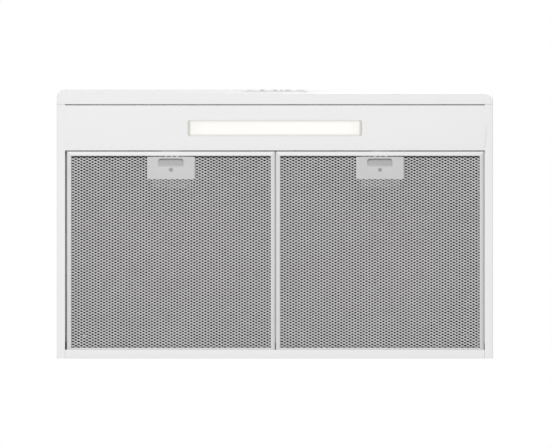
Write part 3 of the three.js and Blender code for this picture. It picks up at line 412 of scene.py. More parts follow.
def cut(piece, cutters):
    """Take the cutters' space out of the piece."""
    for cutter in cutters:
        apply_modifier(piece, "BOOLEAN", operation="DIFFERENCE", solver="EXACT", object=cutter)
        bpy.data.objects.remove(cutter)


def copy_of(piece, shift=(0, 0, 0), mirror=None):
    """A copy with its own mesh, moved, or mirrored in X about a place."""
    only(piece)
    bpy.ops.object.duplicate()
    made = bpy.context.active_object
    if mirror is not None:
        made.data.transform(Matrix.Translation((2 * mirror, 0, 0)) @ Matrix.Scale(-1, 4, (1, 0, 0)))
        made.data.flip_normals()
    made.data.transform(Matrix.Translation(shift))
    return made


def fit(piece, name, body, finish, replaced=(), angle=35):
    """Name a finished piece, coat it and fix it to its body."""
    only(piece)
    bpy.ops.object.shade_smooth_by_angle(angle=math.radians(angle))
    piece.name = name
    piece.data.name = name
    piece.data.materials.clear()
    piece.data.materials.append(finish)
    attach(piece, body)
    if replaced:
        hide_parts(*replaced)
    return piece


low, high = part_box("front_panel")
side_low, side_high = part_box("left_side_panel")
opening_half = -side_high.x
front_panel = add_block(low, high)
edit(front_panel)
drop(lambda at, way: way.y > 0.9)
round_edges(lambda a, b: ends_at(y=low.y)(a, b) and abs(a.z - b.z) > FULL_HEIGHT, CORNER, 10)
for z, bend, segments in ((low.z, OUTER_BEND, 5), (high.z, TOP_BEND, 3)):
    round_edges(lambda a, b: ends_at(z=z)(a, b) and min(a.y, b.y) < high.y - NEAR, bend, segments)
slice_faces(lambda at, way: way.z > 0.99, (0, low.y + TOP_FLANGE, 0), (0, 1, 0))
drop(lambda at, way: way.z > 0.99 and at.y > low.y + TOP_FLANGE)
for x in (-opening_half, opening_half):
    slice_faces(lambda at, way: way.z < -0.99, (x, 0, 0), (1, 0, 0))


def on_front_fold(a, b):
    return ends_at(y=high.y, z=low.z)(a, b) and max(abs(a.x), abs(b.x)) < opening_half + NEAR


fold_up(on_front_fold, (0, 0, UPTURN))
round_edges(on_front_fold, INNER_BEND, 3)
close()
thicken(front_panel)
button_names = ("button_off", "button_low", "button_medium", "button_high", "button_light")
room = Vector((WINDOW_ROOM, 0, WINDOW_ROOM))
cut(front_panel, [add_block(cap[0] - room, cap[1] + room) for cap in map(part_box, button_names)])
fit(front_panel, "front_panel_skin", "root", powder_coat, ["front_panel"])


# ---------------------------------------------------------------- Side and rear panels
# Folded channels of the same sheet, spot welded to the front panel and to each other. Their lower
# flanges are the white border beside and behind the filters.
light_low, light_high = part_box("light_panel")
filter_low, filter_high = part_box("left_filter_frame")
rear_low, rear_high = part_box("rear_panel")
hinge_y = rear_low.y

side = add_block(side_low, side_high)
edit(side)
drop(lambda at, way: abs(way.y) > 0.9 or way.x > 0.9)
slice_faces(lambda at, way: way.z > 0.9, (side_low.x + TOP_FLANGE, 0, 0), (1, 0, 0))
drop(lambda at, way: way.z > 0.9 and at.x > side_low.x + TOP_FLANGE)
for y in (light_low.y, light_high.y, hinge_y):
    slice_faces(lambda at, way: way.z < -0.9, (0, y, 0), (0, 1, 0))


def on_side_fold(a, b, start=light_low.y):
    on_line = ends_at(x=side_high.x, z=side_low.z)(a, b)
    return on_line and all(start - NEAR < end.y < hinge_y + NEAR for end in (a, b))


fold_up(on_side_fold, (0, 0, UPTURN))
round_edges(lambda a, b: on_side_fold(a, b, light_high.y), INNER_BEND, 3)
round_edges(ends_at(x=side_low.x, z=side_low.z), OUTER_BEND, 5)
round_edges(ends_at(x=side_low.x, z=side_high.z), TOP_BEND, 3)
close()
thicken(side)
other_side = copy_of(side, mirror=0)
fit(side, "left_side_skin", "root", powder_coat, ["left_side_panel"])
fit(other_side, "right_side_skin", "root", powder_coat, ["right_side_panel"])

FLANGE_GAP = 0.0003
REAR_BEND = 0.0014
flange_half = opening_half - FLANGE_GAP
top_half = -side_low.x - TOP_FLANGE - FLANGE_GAP
notch_low, notch_high = rear_low.z + SHEET + FLANGE_GAP, rear_high.z - SHEET - FLANGE_GAP
rear = add_block(rear_low, rear_high)
edit(rear)
drop(lambda at, way: way.y < -0.9 or abs(way.x) > 0.9)
for x in (-top_half, -flange_half, flange_half, top_half):
    slice_faces(lambda at, way: True, (x, 0, 0), (1, 0, 0))
for z in (notch_low, notch_high):
    slice_faces(lambda at, way: way.y > 0.9, (0, 0, z), (0, 0, 1))
slice_faces(lambda at, way: way.z > 0.9, (0, rear_high.y - TOP_FLANGE, 0), (0, 1, 0))
drop(lambda at, way: way.z > 0.9 and (at.y < rear_high.y - TOP_FLANGE or abs(at.x) > top_half))
drop(lambda at, way: way.z < -0.9 and abs(at.x) > flange_half)
drop(lambda at, way: way.y > 0.9 and abs(at.x) > flange_half and at.z < notch_low)
drop(lambda at, way: way.y > 0.9 and abs(at.x) > top_half and at.z > notch_high)
round_edges(ends_at(y=rear_high.y, z=rear_low.z), REAR_BEND, 4)
round_edges(ends_at(y=rear_high.y, z=rear_high.z), TOP_BEND, 3)
close()
thicken(rear)

# The knock-out for a rear duct is scored round, with tabs left that hold it.
SCORE = 0.0007
SCORE_REACH = 0.003
TAB = 0.004
KNOCKOUT_ASIDE = 0.008
KNOCKOUT_DROP = 0.012
KNOCKOUT_HIGH = 0.083
duct_low, duct_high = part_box("duct_collar")
knock_left, knock_right = duct_low.x + KNOCKOUT_ASIDE, duct_high.x - KNOCKOUT_ASIDE
knock_top = rear_high.z - KNOCKOUT_DROP
knock_middle, knock_foot = knock_top - KNOCKOUT_HIGH / 2, knock_top - KNOCKOUT_HIGH


def score(x0, x1, z0, z1):
    return add_block((x0, rear_high.y - SCORE_REACH, z0), (x1, rear_high.y + SCORE_REACH, z1))


scores = []
for z in (knock_top, knock_foot):
    for x0, x1 in ((knock_left, -TAB / 2), (TAB / 2, knock_right)):
        scores.append(score(x0, x1, z - SCORE / 2, z + SCORE / 2))
for x in (knock_left, knock_right):
    for z0, z1 in ((knock_middle + TAB / 2, knock_top - TAB), (knock_foot + TAB, knock_middle - TAB / 2)):
        scores.append(score(x - SCORE / 2, x + SCORE / 2, z0, z1))
cut(rear, scores)
fit(rear, "rear_skin", "root", powder_coat, ["rear_panel"])


# ---------------------------------------------------------------- Top panel
# A flat sheet with the duct outlet, four keyholes for the cabinet screws and the cable entry.
# It carries the same coat as the casing.
def coat(name, finish):
    """Give a drawn part this finish."""
    finishes = frame["nodes"][name].data.materials
    finishes.clear()
    finishes.append(finish)


coat("top_panel", powder_coat)


# ---------------------------------------------------------------- Light panel
# A shallow tray folded up on all four sides, dropped between the side flanges. The lens shows
# through a round-cornered window and two slots in its rear wall catch the filter latches.
LENS_CORNER = 0.004
LENS_FLANGE = 0.004
LENS_FIT = 0.0004
TRAY_FIT = 0.00002
WINDOW_REACH = 0.002
STRIKE_HALF = 0.016
STRIKE_REACH = 0.003
STRIKE_UNDER = 0.0013
STRIKE_OVER = 0.0021

tray_half = opening_half - TRAY_FIT
tray = add_block((-tray_half, light_low.y, light_low.z), (tray_half, light_high.y, light_low.z + UPTURN))
edit(tray)
drop(lambda at, way: way.z > 0.9)
for y in (light_low.y, light_high.y):
    round_edges(ends_at(y=y, z=light_low.z), INNER_BEND, 3)
close()
thicken(tray)


def rounded_block(low, high, radius, segments=6):
    """A block with its four upright edges rounded."""
    upright = abs(high[2] - low[2]) * 0.9
    return soften(add_block(low, high), lambda a, b: abs(a.z - b.z) > upright, radius, segments)


lens_low, lens_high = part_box("light_lens")
border = LENS_FLANGE - LENS_FIT
window = rounded_block(
    (lens_low.x + border, lens_low.y + border, light_low.z - WINDOW_REACH),
    (lens_high.x - border, lens_high.y - border, light_low.z + WINDOW_REACH), LENS_CORNER,
)
strikes = []
for name in ("left_latch_slide", "right_latch_slide"):
    slide_low, slide_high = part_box(name)
    middle = (slide_low.x + slide_high.x) / 2
    strikes.append(add_block(
        (middle - STRIKE_HALF, light_high.y - STRIKE_REACH, slide_low.z - STRIKE_UNDER),
        (middle + STRIKE_HALF, light_high.y + STRIKE_REACH, slide_low.z + STRIKE_OVER),
    ))
cut(tray, [window, *strikes])
fit(tray, "light_panel_skin", "root", powder_coat, ["light_panel"])


# ---------------------------------------------------------------- Lamp lens and light housing
# Injection moulded opal polycarbonate, clipped behind the tray so that its bevelled face stands in
# the window. A strip of light diodes on a white board shines through it; its ends glow warmer. Its
# glow is painted darker round the rim and its colour darker at the ends, as painted shade of the
# bevelled edge.
BODY_OF = {part: body for body, parts in frame["record"]["behaviour"]["bodies"].items() for part in parts}

END_SHADE_SPAN = (0.0055, 0.0025)
SIDE_SHADE_SPAN = (0.0052, 0.0016)
WARM_FADE = (0.030, 0.004)
LAMP_GLOW = 0.19
FACE_SET = 0.0002
FACE_CORNER = 0.0037
FACE_EDGE = 0.0008
FACE_BORDER = 0.0014
FACE_STEP = (0.0009, 0.0004)
LENS_SHEET = 0.0015


def ordinate(tree, axis):
    """How far along one axis a point of the surface lies."""
    return node(tree, "ShaderNodeSeparateXYZ", {"Vector": own_place(tree)}).outputs[axis]


def fade(tree, distance, start, end):
    return node(tree, "ShaderNodeMapRange", {
        "Value": distance, "From Min": start, "From Max": end,
    }, interpolation_type="SMOOTHSTEP").outputs["Result"]


def make_opal():
    finish, tree, shader = new_finish("opal_polycarbonate")
    aside = worked_out(tree, "ABSOLUTE", ordinate(tree, "X"))
    off_middle = worked_out(tree, "ADD", ordinate(tree, "Y"), -(lens_low.y + lens_high.y) / 2)
    across = worked_out(tree, "ABSOLUTE", off_middle)
    half_long = lens_high.x - LENS_FLANGE
    half_short = (lens_high.y - lens_low.y) / 2 - LENS_FLANGE

    def fade_near(distance, edge, insides):
        return fade(tree, distance, *(edge - inside for inside in insides))

    # Painted shade at the lens's ends and rim: it dims the glow and darkens the colour where the bevelled
    # edge falls into shade.
    end_shade = fade_near(aside, half_long, END_SHADE_SPAN)
    rim = worked_out(tree, "MAXIMUM", end_shade, fade_near(across, half_short, SIDE_SHADE_SPAN))
    warm_end = fade_near(aside, half_long, WARM_FADE)
    glow = mixed(tree, warm_end, (1.0, 0.99, 0.955, 1), (0.80, 0.74, 0.56, 1))
    tree.links.new(mixed(tree, rim, glow, (0.30, 0.27, 0.19, 1)), shader.inputs["Emission Color"])
    shader.inputs["Emission Strength"].default_value = LAMP_GLOW
    cloud, grain = grain_of(tree, 40.0, 1500.0)
    body = mixed(tree, cloud, (0.80, 0.795, 0.775, 1), (0.83, 0.825, 0.805, 1))
    colour = mixed(tree, end_shade, body, (0.60, 0.59, 0.565, 1))
    dress(tree, shader, colour, between(tree, grain, 0.42, 0.55), grain, 0.15, 0.0001)
    return finish


face = rounded_block(
    (lens_low.x + LENS_FLANGE, lens_low.y + LENS_FLANGE, lens_low.z),
    (lens_high.x - LENS_FLANGE, lens_high.y - LENS_FLANGE, lens_high.z - FACE_SET), FACE_CORNER,
)
edit(face)
round_edges(ends_at(z=lens_low.z), FACE_EDGE, 3)
pick("FACE", lambda at, way: way.z < -0.99)
bpy.ops.mesh.inset(thickness=FACE_BORDER, depth=0)
bpy.ops.mesh.inset(thickness=FACE_STEP[0], depth=-FACE_STEP[1])
close()
flange = rounded_block(
    (lens_low.x, lens_low.y, lens_high.z - LENS_SHEET), (lens_high.x, lens_high.y, lens_high.z), LENS_CORNER
)
fit(together([face, flange]), "lamp_lens", "root", make_opal(), ["light_lens"])


def grey(level):
    return (level, level, level, 1)


def make_galvanised(name, light, dark):
    """Hot dipped zinc: flat crystals of slightly different greys, with cut edges a little brighter."""
    finish, tree, shader = new_finish(name, metallic=1.0)
    crystals = node(tree, "ShaderNodeTexVoronoi", {"Vector": own_place(tree), "Scale": 110.0})
    tone = node(tree, "ShaderNodeSeparateColor", {"Color": crystals.outputs["Color"]})
    cloud, grain = grain_of(tree, 25.0, 700.0)
    zinc = mixed(tree, worked_out(tree, "MULTIPLY", tone.outputs["Red"], cloud), dark, light)
    colour = mixed(tree, wear_and_highlight_of(tree, 0.0006, 0.8), zinc, (0.72, 0.73, 0.74, 1))
    dress(tree, shader, colour, between(tree, tone.outputs["Green"], 0.34, 0.52), grain, 0.1, 0.0002)
    return finish


def make_plain_metal(name, light, rough):
    """Drawn, turned or rolled metal with fine working marks."""
    finish, tree, shader = new_finish(name, metallic=1.0)
    marks = node(tree, "ShaderNodeTexNoise", {
        "Vector": own_place(tree), "Scale": 400.0, "Detail": 3.0,
    }).outputs["Fac"]
    cloud, _ = grain_of(tree, 30.0, 900.0)
    dark = tuple(0.88 * part for part in light[:3]) + (1,)
    colour = mixed(tree, wear_and_highlight_of(tree, 0.0005, 0.5), mixed(tree, cloud, dark, light), grey(0.8))
    dress(tree, shader, colour, between(tree, marks, rough - 0.07, rough + 0.09), marks, 0.08, 0.0001)
    return finish


def make_plastic(name, dark, rough):
    """Moulded plastic with a fine spark-eroded texture and lighter rubbed edges."""
    finish, tree, shader = new_finish(name)
    cloud, grain = grain_of(tree, 35.0, 1800.0)
    light = tuple(min(1.0, part + 0.02) for part in dark[:3]) + (1,)
    rubbed = tuple(min(1.0, part * 1.15 + 0.02) for part in dark[:3]) + (1,)
    colour = mixed(tree, wear_and_highlight_of(tree, 0.0005, 0.7), mixed(tree, cloud, dark, light), rubbed)
    dress(tree, shader, colour, between(tree, grain, rough - 0.06, rough + 0.06), grain, 0.2, 0.0001)
    return finish


galvanised = make_galvanised("galvanised_steel", (0.66, 0.67, 0.68, 1), (0.46, 0.47, 0.48, 1))
bright_steel = make_plain_metal("zinc_plated_steel", (0.62, 0.63, 0.64, 1), 0.30)
grey_plastic = make_plastic("pale_grey_plastic", (0.62, 0.62, 0.61, 1), 0.42)
black_plastic = make_plastic("black_plastic", (0.022, 0.022, 0.024, 1), 0.48)


def eased(name, width, finish, segments=2, angle=40):
    """Stand-in for a drawn part: the same shape with its corners eased as in the real moulding,
    pressing or turning."""
    only(frame["nodes"][name])
    bpy.ops.object.duplicate()
    piece = bpy.context.active_object
    only(piece)
    if piece.data.has_custom_normals:
        bpy.ops.mesh.customdata_custom_splitnormals_clear()
    edit(piece)
    weld(0.000002)
    bpy.ops.mesh.dissolve_limited(angle_limit=math.radians(0.5))
    close()
    apply_modifier(
        piece, "BEVEL", width=width, segments=segments, limit_method="ANGLE",
        angle_limit=math.radians(angle), use_clamp_overlap=True,
    )
    return fit(piece, name + "_made", BODY_OF[name], finish, [name])


def make_board():
    """White solder mask over laminate, with tinned pads and copper tracks in a row."""
    finish, tree, shader = new_finish("light_board")
    tracks = node(tree, "ShaderNodeTexBrick", {
        "Vector": own_place(tree), "Scale": 90.0, "Color1": (0.78, 0.80, 0.77, 1),
        "Color2": (0.74, 0.77, 0.73, 1), "Mortar": (0.60, 0.64, 0.58, 1), "Mortar Size": 0.012,
    })
    cloud, grain = grain_of(tree, 50.0, 1200.0)
    tinted = mixed(tree, cloud, (0.72, 0.74, 0.71, 1), (0.82, 0.83, 0.80, 1))
    colour = mixed(tree, 0.5, tracks.outputs["Color"], tinted, blend_type="MULTIPLY")
    dress(tree, shader, colour, between(tree, grain, 0.3, 0.5), tracks.outputs["Fac"], 0.3, 0.0001)
    return finish


eased("light_housing", 0.0003, galvanised)
eased("led_board", 0.0002, make_board())
eased("led_driver", 0.0008, grey_plastic)
for name in ("light_housing_nut_left", "light_housing_nut_right"):
    eased(name, 0.0003, bright_steel)


# ---------------------------------------------------------------- Push buttons and their bezel
# Five moulded push buttons and a pilot lamp in a slim bezel on the front face. Each cap has a dished
# face with a printed mark: a ring for off, one to three dots for the speeds and a rayed dot for the
# lamp. The speed caps carry small bars underneath as well, which show from below.
BEZEL_FIT = 0.0003
CAP_DEEP = 0.0115
CAP_EDGE = 0.0011
CAP_BORDER = 0.0008
DISH_EDGE = 0.0009
DISH_DEEP = 0.00025
STEM_HALF = (0.003, 0.002)
STEM_START = 0.010
MARK_RADIUS = 0.00065
MARK_STEP = 0.0022
MARK_DEPTH = 0.00012
RING_RADIUS = 0.0019
RING_BORE = 0.68
LAMP_DOT = 0.0009
RAY_DOT = 0.0003
RAY_RING = 0.002
RAYS = 8
UNDER_FROM_FACE = 0.0012
UNDER_LONG = 0.0014
UNDER_STEP = 0.0019
UNDER_WIDE = (0.0044, 0.0013, 0.0009)
PILOT_ASIDE = 0.0112
PILOT_RADIUS = 0.0012
PILOT_PROUD = 0.0013
PILOT_DOME = 0.0009

white_plastic = make_plastic("white_plastic", (0.88, 0.88, 0.875, 1), 0.38)
mark_ink = make_plastic("mark_ink", (0.17, 0.17, 0.175, 1), 0.5)
bezel = eased("control_bezel", 0.0005, white_plastic, 3)
panel_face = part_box("front_panel")[0].y
edit(bezel)
pick("VERT", lambda at: abs(at.y - panel_face + BEZEL_FIT) < NEAR)
bpy.ops.transform.translate(value=(0, BEZEL_FIT * 0.9, 0))
close()
eased("switch_block", 0.0005, black_plastic)


def mark_disc(x, y, z, radius=MARK_RADIUS):
    made = add_rod(radius, (x, y, z), (x, y - MARK_DEPTH, z), 16)
    return soften(made, ends_at(y=y - MARK_DEPTH), MARK_DEPTH * 0.4, 1)


def mark_ring(x, y, z, radius):
    made = mark_disc(x, y, z, radius)
    cut(made, [add_rod(radius * RING_BORE, (x, y + 0.001, z), (x, y - 0.001, z), 16)])
    return made


for name in button_names:
    low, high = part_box(name)
    middle = (low + high) / 2
    cap = add_block(low, (high.x, low.y + CAP_DEEP, high.z))
    edit(cap)
    round_edges(ends_at(y=low.y), CAP_EDGE, 3)
    pick("FACE", lambda at, way: way.y < -0.99)
    bpy.ops.mesh.inset(thickness=CAP_BORDER, depth=0)
    bpy.ops.mesh.inset(thickness=DISH_EDGE, depth=-DISH_DEEP)
    close()
    half_wide, half_tall = STEM_HALF
    stem = add_block(
        (middle.x - half_wide, low.y + STEM_START, middle.z - half_tall),
        (middle.x + half_wide, high.y, middle.z + half_tall),
    )
    soften(stem, lambda a, b: abs(a.y - b.y) > 0.005, 0.0005, 2)
    body = BODY_OF[name]
    fit(together([cap, stem]), name + "_cap", body, white_plastic, [name])
    dish = low.y + DISH_DEEP
    if name == "button_off":
        marks = [mark_ring(middle.x, dish, middle.z, RING_RADIUS)]
    elif name == "button_light":
        marks = [mark_disc(middle.x, dish, middle.z, LAMP_DOT)] + [
            mark_disc(
                middle.x + RAY_RING * math.cos(turn), dish, middle.z + RAY_RING * math.sin(turn), RAY_DOT
            )
            for turn in (math.tau * step / RAYS for step in range(RAYS))
        ]
    else:
        count = button_names.index(name)
        half = UNDER_WIDE[count - 1] / 2
        marks = []
        for step in range(count):
            aside = step - (count - 1) / 2
            marks.append(mark_disc(middle.x + MARK_STEP * aside, dish, middle.z))
            x, y = middle.x + UNDER_STEP * aside, low.y + UNDER_FROM_FACE
            marks.append(add_block(
                (x - half, y, low.z - MARK_DEPTH), (x + half, y + UNDER_LONG, low.z + MARK_DEPTH)
            ))
    fit(together(marks), name.replace("button", "mark"), body, mark_ink)


bezel_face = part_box("control_bezel")[0].y
pilot_height = (low.z + high.z) / 2
pilot = add_rod(
    PILOT_RADIUS, (PILOT_ASIDE, bezel_face + 0.0004, pilot_height),
    (PILOT_ASIDE, bezel_face - PILOT_PROUD, pilot_height),
)
soften(pilot, ends_at(y=bezel_face - PILOT_PROUD), PILOT_DOME, 4)
fit(pilot, "pilot_lamp", "root", make_plastic("smoked_lens", (0.26, 0.28, 0.26, 1), 0.25))


# ---------------------------------------------------------------- Grease filter frames
# Roll formed aluminium channel, mitred at the corners and closed round the layers of mesh. The
# channel's lips are hemmed, and the front rail has a slot for the latch tongue.
FRAME_METAL = 0.0008
FRAME_RIM = 0.008
REAR_RIM = 0.0065
HEM = FRAME_METAL * 1.3
HEM_BEND = 0.0006
RAIL_BEND = 0.0008
MITRE_GAP = 0.00006
TONGUE_REACH = (0.002, 0.003)
TONGUE_UNDER = 0.0004
TONGUE_OVER = 0.0013


def make_aluminium(name, light, dark, rough, stretch=(1, 1, 1)):
    """Rolled aluminium: soft lines along the rolling direction and small dull patches."""
    finish, tree, shader = new_finish(name, metallic=1.0)
    rolled = node(tree, "ShaderNodeMapping", {"Vector": own_place(tree), "Scale": stretch})
    lines = node(tree, "ShaderNodeTexNoise", {
        "Vector": rolled.outputs["Vector"], "Scale": 500.0, "Detail": 4.0,
    }).outputs["Fac"]
    cloud, _ = grain_of(tree, 22.0, 1300.0)
    tone = worked_out(tree, "MULTIPLY", worked_out(tree, "ADD", lines, cloud), 0.5)
    colour = mixed(tree, wear_and_highlight_of(tree, 0.0006, 0.5), mixed(tree, tone, dark, light), grey(0.9))
    dress(tree, shader, colour, between(tree, tone, rough - 0.08, rough + 0.08), lines, 0.06, 0.0001)
    return finish


# One aluminium in two tones: the front rail is painted lighter, as painted light, and the side and rear rails
# darker, as painted shade, for how the light falls on them.
front_aluminium_lit = make_aluminium("front_rail_painted_light", grey(0.70), grey(0.64), 0.45, (0.06, 1, 1))
side_aluminium_shaded = make_aluminium("side_rails_painted_shade", grey(0.58), grey(0.50), 0.40, (1, 0.06, 1))


def channel_rail(low, high, rim=FRAME_RIM, slot=None):
    """The front rail: a channel open towards the rear, its corners cut at 45 degrees."""
    made = add_block(low, (high.x, low.y + rim, high.z))
    edit(made)
    drop(lambda at, way: way.y > 0.9 or abs(way.x) > 0.9)
    for z, sink in ((low.z, HEM), (high.z, -HEM)):
        fold_up(ends_at(y=low.y + rim, z=z), (0, 0, sink))
        round_edges(ends_at(y=low.y + rim, z=z), HEM_BEND, 3)
        round_edges(ends_at(y=low.y, z=z), RAIL_BEND, 4)
    close()
    thicken(made, FRAME_METAL)
    edit(made)
    for x, way in ((low.x, 1), (high.x, -1)):
        bpy.ops.mesh.select_all(action="SELECT")
        bpy.ops.mesh.bisect(
            plane_co=(x + way * MITRE_GAP, low.y, 0), plane_no=(way, -1, 0), clear_inner=True, use_fill=True
        )
    close()
    if slot:
        cut(made, [add_block(*slot)])
    return made


def turned(piece, angle, centre):
    """The same rail turned about the filter's middle."""
    piece.data.transform(
        Matrix.Translation(centre) @ Matrix.Rotation(angle, 4, "Z") @ Matrix.Translation(-centre)
    )
    return piece


def filter_frame(name):
    low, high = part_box(name + "_filter_frame")
    slide_low, slide_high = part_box(name + "_latch_slide")
    middle = (low + high) / 2
    tongue = (slide_low.x + slide_high.x) / 2
    before, behind = TONGUE_REACH
    front = channel_rail(low, high, slot=(
        (tongue - STRIKE_HALF, low.y - before, slide_low.z - TONGUE_UNDER),
        (tongue + STRIKE_HALF, low.y + behind, slide_low.z + TONGUE_OVER),
    ))
    back = turned(channel_rail(low, high, REAR_RIM), math.pi, middle)
    half_depth, half_width = (high.y - low.y) / 2, (high.x - low.x) / 2
    square_low = Vector((middle.x - half_depth, middle.y - half_width, low.z))
    square_high = Vector((middle.x + half_depth, middle.y + half_width, high.z))
    side_rail = channel_rail(square_low, square_high)
    left = turned(copy_of(side_rail), -math.pi / 2, middle)
    right = turned(side_rail, math.pi / 2, middle)
    fit(front, name + "_front_rail", name + "_filter", front_aluminium_lit)
    rails = together([back, left, right])
    fit(rails, name + "_side_rails", name + "_filter", side_aluminium_shaded, [name + "_filter_frame"])


for name in ("left", "right"):
    filter_frame(name)


# ---------------------------------------------------------------- Filter meshes
# Expanded aluminium: the sheet is slit and drawn open into diamonds, which leaves every strand
# turned a little out of the sheet's plane. Several layers lie on each other in each filter, held by
# a rivet in a rear corner. A band of each layer just behind the front rail is painted dark, as
# painted shade where the mesh passes under the rail.
MESH_LONG = 0.0098
MESH_SHORT = 0.0050
STRAND = 0.31
INNER_STRAND = 0.62
INNER_LEVEL = 0.0033
MESH_TILT = 0.0009
MESH_GAUGE = 0.00045
RAIL_SHADE_BAND = 0.0042
RAIL_SHADE_LEVEL = 0.42
CUT_ASIDE = 0.018
CUT_FRONT = 0.002
CUT_BACK = 0.012
CUT_BACK_AT_RIVET = 0.003
RIVET_ROOM = 0.009
INNER_CUT_ASIDE = 0.008
INNER_CUT_BACK = 0.016
RIVET_FROM_REAR = 0.028
RIVET_FROM_SIDE = 0.030
RIVET_RADIUS = 0.0026
RIVET_PROUD = 0.0006
RIVET_EDGE = 0.0005


def make_mesh_metal(name, light, dark, rough):
    finish, tree, shader = new_finish(name, metallic=1.0)
    cloud, grain = grain_of(tree, 45.0, 900.0)
    body = mixed(tree, grain, mixed(tree, cloud, dark, light), light)
    rail_edge = filter_low.y + FRAME_RIM
    # Painted shade: the mesh is darkened in a band just behind the front rail's inner edge.
    unshaded = fade(tree, ordinate(tree, "Y"), rail_edge + RAIL_SHADE_BAND / 2, rail_edge + RAIL_SHADE_BAND)
    shade_tone = tuple(RAIL_SHADE_LEVEL * part for part in dark[:3]) + (1,)
    colour = mixed(tree, unshaded, shade_tone, body)
    dress(tree, shader, colour, between(tree, cloud, rough - 0.08, rough + 0.1), grain, 0.15, 0.0001)
    return finish


mesh_bright = make_mesh_metal("expanded_aluminium", grey(1.0), grey(0.70), 0.42)
# The inner layer is coloured almost black: painted shade for the dark inside of the filter, not the
# aluminium's own colour.
mesh_inner_shade = make_mesh_metal("inner_mesh_painted_shade", (0.028, 0.028, 0.0285, 1), (0.014, 0.014, 0.0142, 1), 0.5)
mesh_upper = make_mesh_metal("upper_aluminium", (0.80, 0.80, 0.802, 1), (0.62, 0.62, 0.621, 1), 0.42)
rivet_metal = make_aluminium("rivet_aluminium", grey(0.40), grey(0.33), 0.42)


def diamond_mesh(low, high, level, strand=STRAND, shift=0.0):
    """One layer of expanded metal that fills a rectangle: a single diamond, copied in rows."""
    let_go()
    bpy.ops.mesh.primitive_circle_add(vertices=4, radius=1, fill_type="NGON")
    bpy.context.active_object.scale = (MESH_LONG / 2, MESH_SHORT / 2, 1)
    made = settle()
    edit(made)
    pick("FACE", lambda at, way: True)
    across = MESH_LONG * MESH_SHORT / math.hypot(MESH_LONG, MESH_SHORT)
    bpy.ops.mesh.inset(thickness=strand * across / 2, depth=0)
    bpy.ops.mesh.delete(type="FACE")
    reach = MESH_SHORT / 2 * 0.99
    for sense in (1, -1):
        pick("VERT", lambda at: 2 * NEAR < at.y * sense < reach and abs(at.x) < 2 * NEAR)
        bpy.ops.transform.translate(value=(0, 0, -MESH_TILT * sense))
    close()
    made = together([made, copy_of(made, (MESH_LONG / 2, MESH_SHORT / 2, 0))])
    for step, span in (((MESH_LONG, 0, 0), high.x - low.x), ((0, MESH_SHORT, 0), high.y - low.y)):
        apply_modifier(
            made, "ARRAY", count=int(span / max(step)) + 3, use_relative_offset=False,
            use_constant_offset=True, constant_offset_displace=step,
        )
    made.data.transform(Matrix.Translation((low.x - MESH_LONG / 2 - shift, low.y - MESH_SHORT / 2, level)))
    edit(made)
    weld(0.00002)
    for place, way in ((low, (1, 0, 0)), (low, (0, 1, 0)), (high, (-1, 0, 0)), (high, (0, -1, 0))):
        bpy.ops.mesh.select_all(action="SELECT")
        bpy.ops.mesh.bisect(plane_co=place, plane_no=way, clear_inner=True)
    face_out()
    close()
    apply_modifier(made, "SOLIDIFY", thickness=MESH_GAUGE, offset=0)
    return made


def filter_layers(name):
    lower, upper, body = name + "_filter_lower_mesh", name + "_filter_upper_mesh", name + "_filter"
    low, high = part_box(lower)
    plate_low, plate_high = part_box(name + "_latch_plate")
    rivet_x = (plate_low.x + plate_high.x) / 2

    def under_plate(at, way):
        back = CUT_BACK_AT_RIVET if abs(at.x - rivet_x) < RIVET_ROOM else CUT_BACK
        return (plate_low.x + CUT_ASIDE < at.x < plate_high.x - CUT_ASIDE
                and plate_low.y + CUT_FRONT < at.y < plate_high.y - back)

    outer = diamond_mesh(low, high, (low.z + high.z) / 2)
    edit(outer)
    drop(under_plate)
    close()
    fit(outer, name + "_outer_mesh", body, mesh_bright, [lower], 20)
    upper_low, upper_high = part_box(upper)
    top = diamond_mesh(upper_low, upper_high, (upper_low.z + upper_high.z) / 2)
    fit(top, name + "_top_mesh", body, mesh_upper, [upper], 20)
    core = diamond_mesh(low, high, low.z + INNER_LEVEL, INNER_STRAND, MESH_LONG / 2)
    edit(core)
    drop(lambda at, way: plate_low.x + INNER_CUT_ASIDE < at.x < plate_high.x - INNER_CUT_ASIDE
         and at.y < plate_high.y + INNER_CUT_BACK)
    close()
    fit(core, name + "_inner_mesh", body, mesh_inner_shade, (), 20)


for name in ("left", "right"):
    filter_layers(name)

left_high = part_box("left_filter_frame")[1]
right_low, right_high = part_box("right_filter_frame")
for name, x in (("left", filter_low.x + RIVET_FROM_SIDE), ("right", right_high.x - RIVET_FROM_SIDE)):
    face_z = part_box(name + "_filter_lower_mesh")[0].z
    y, end = filter_high.y - RIVET_FROM_REAR, face_z - RIVET_PROUD
    rivet = add_rod(RIVET_RADIUS, (x, y, face_z + INNER_LEVEL), (x, y, end), 20)
    soften(rivet, ends_at(z=end), RIVET_EDGE)
    fit(rivet, name + "_mesh_rivet", name + "_filter", rivet_metal)


# ---------------------------------------------------------------- Felt strips
# Thin strips of white felt glued inside the casing above the slots round the filters and behind the
# front lip. They quieten the filters and stop grease dripping through the slots.
def make_felt():
    finish, tree, shader = new_finish("white_felt")
    cloud, grain = grain_of(tree, 60.0, 2200.0)
    colour = mixed(tree, grain, (0.74, 0.74, 0.735, 1), (0.86, 0.86, 0.85, 1))
    dress(tree, shader, colour, between(tree, cloud, 0.85, 0.97), grain, 0.5, 0.0003)
    return finish


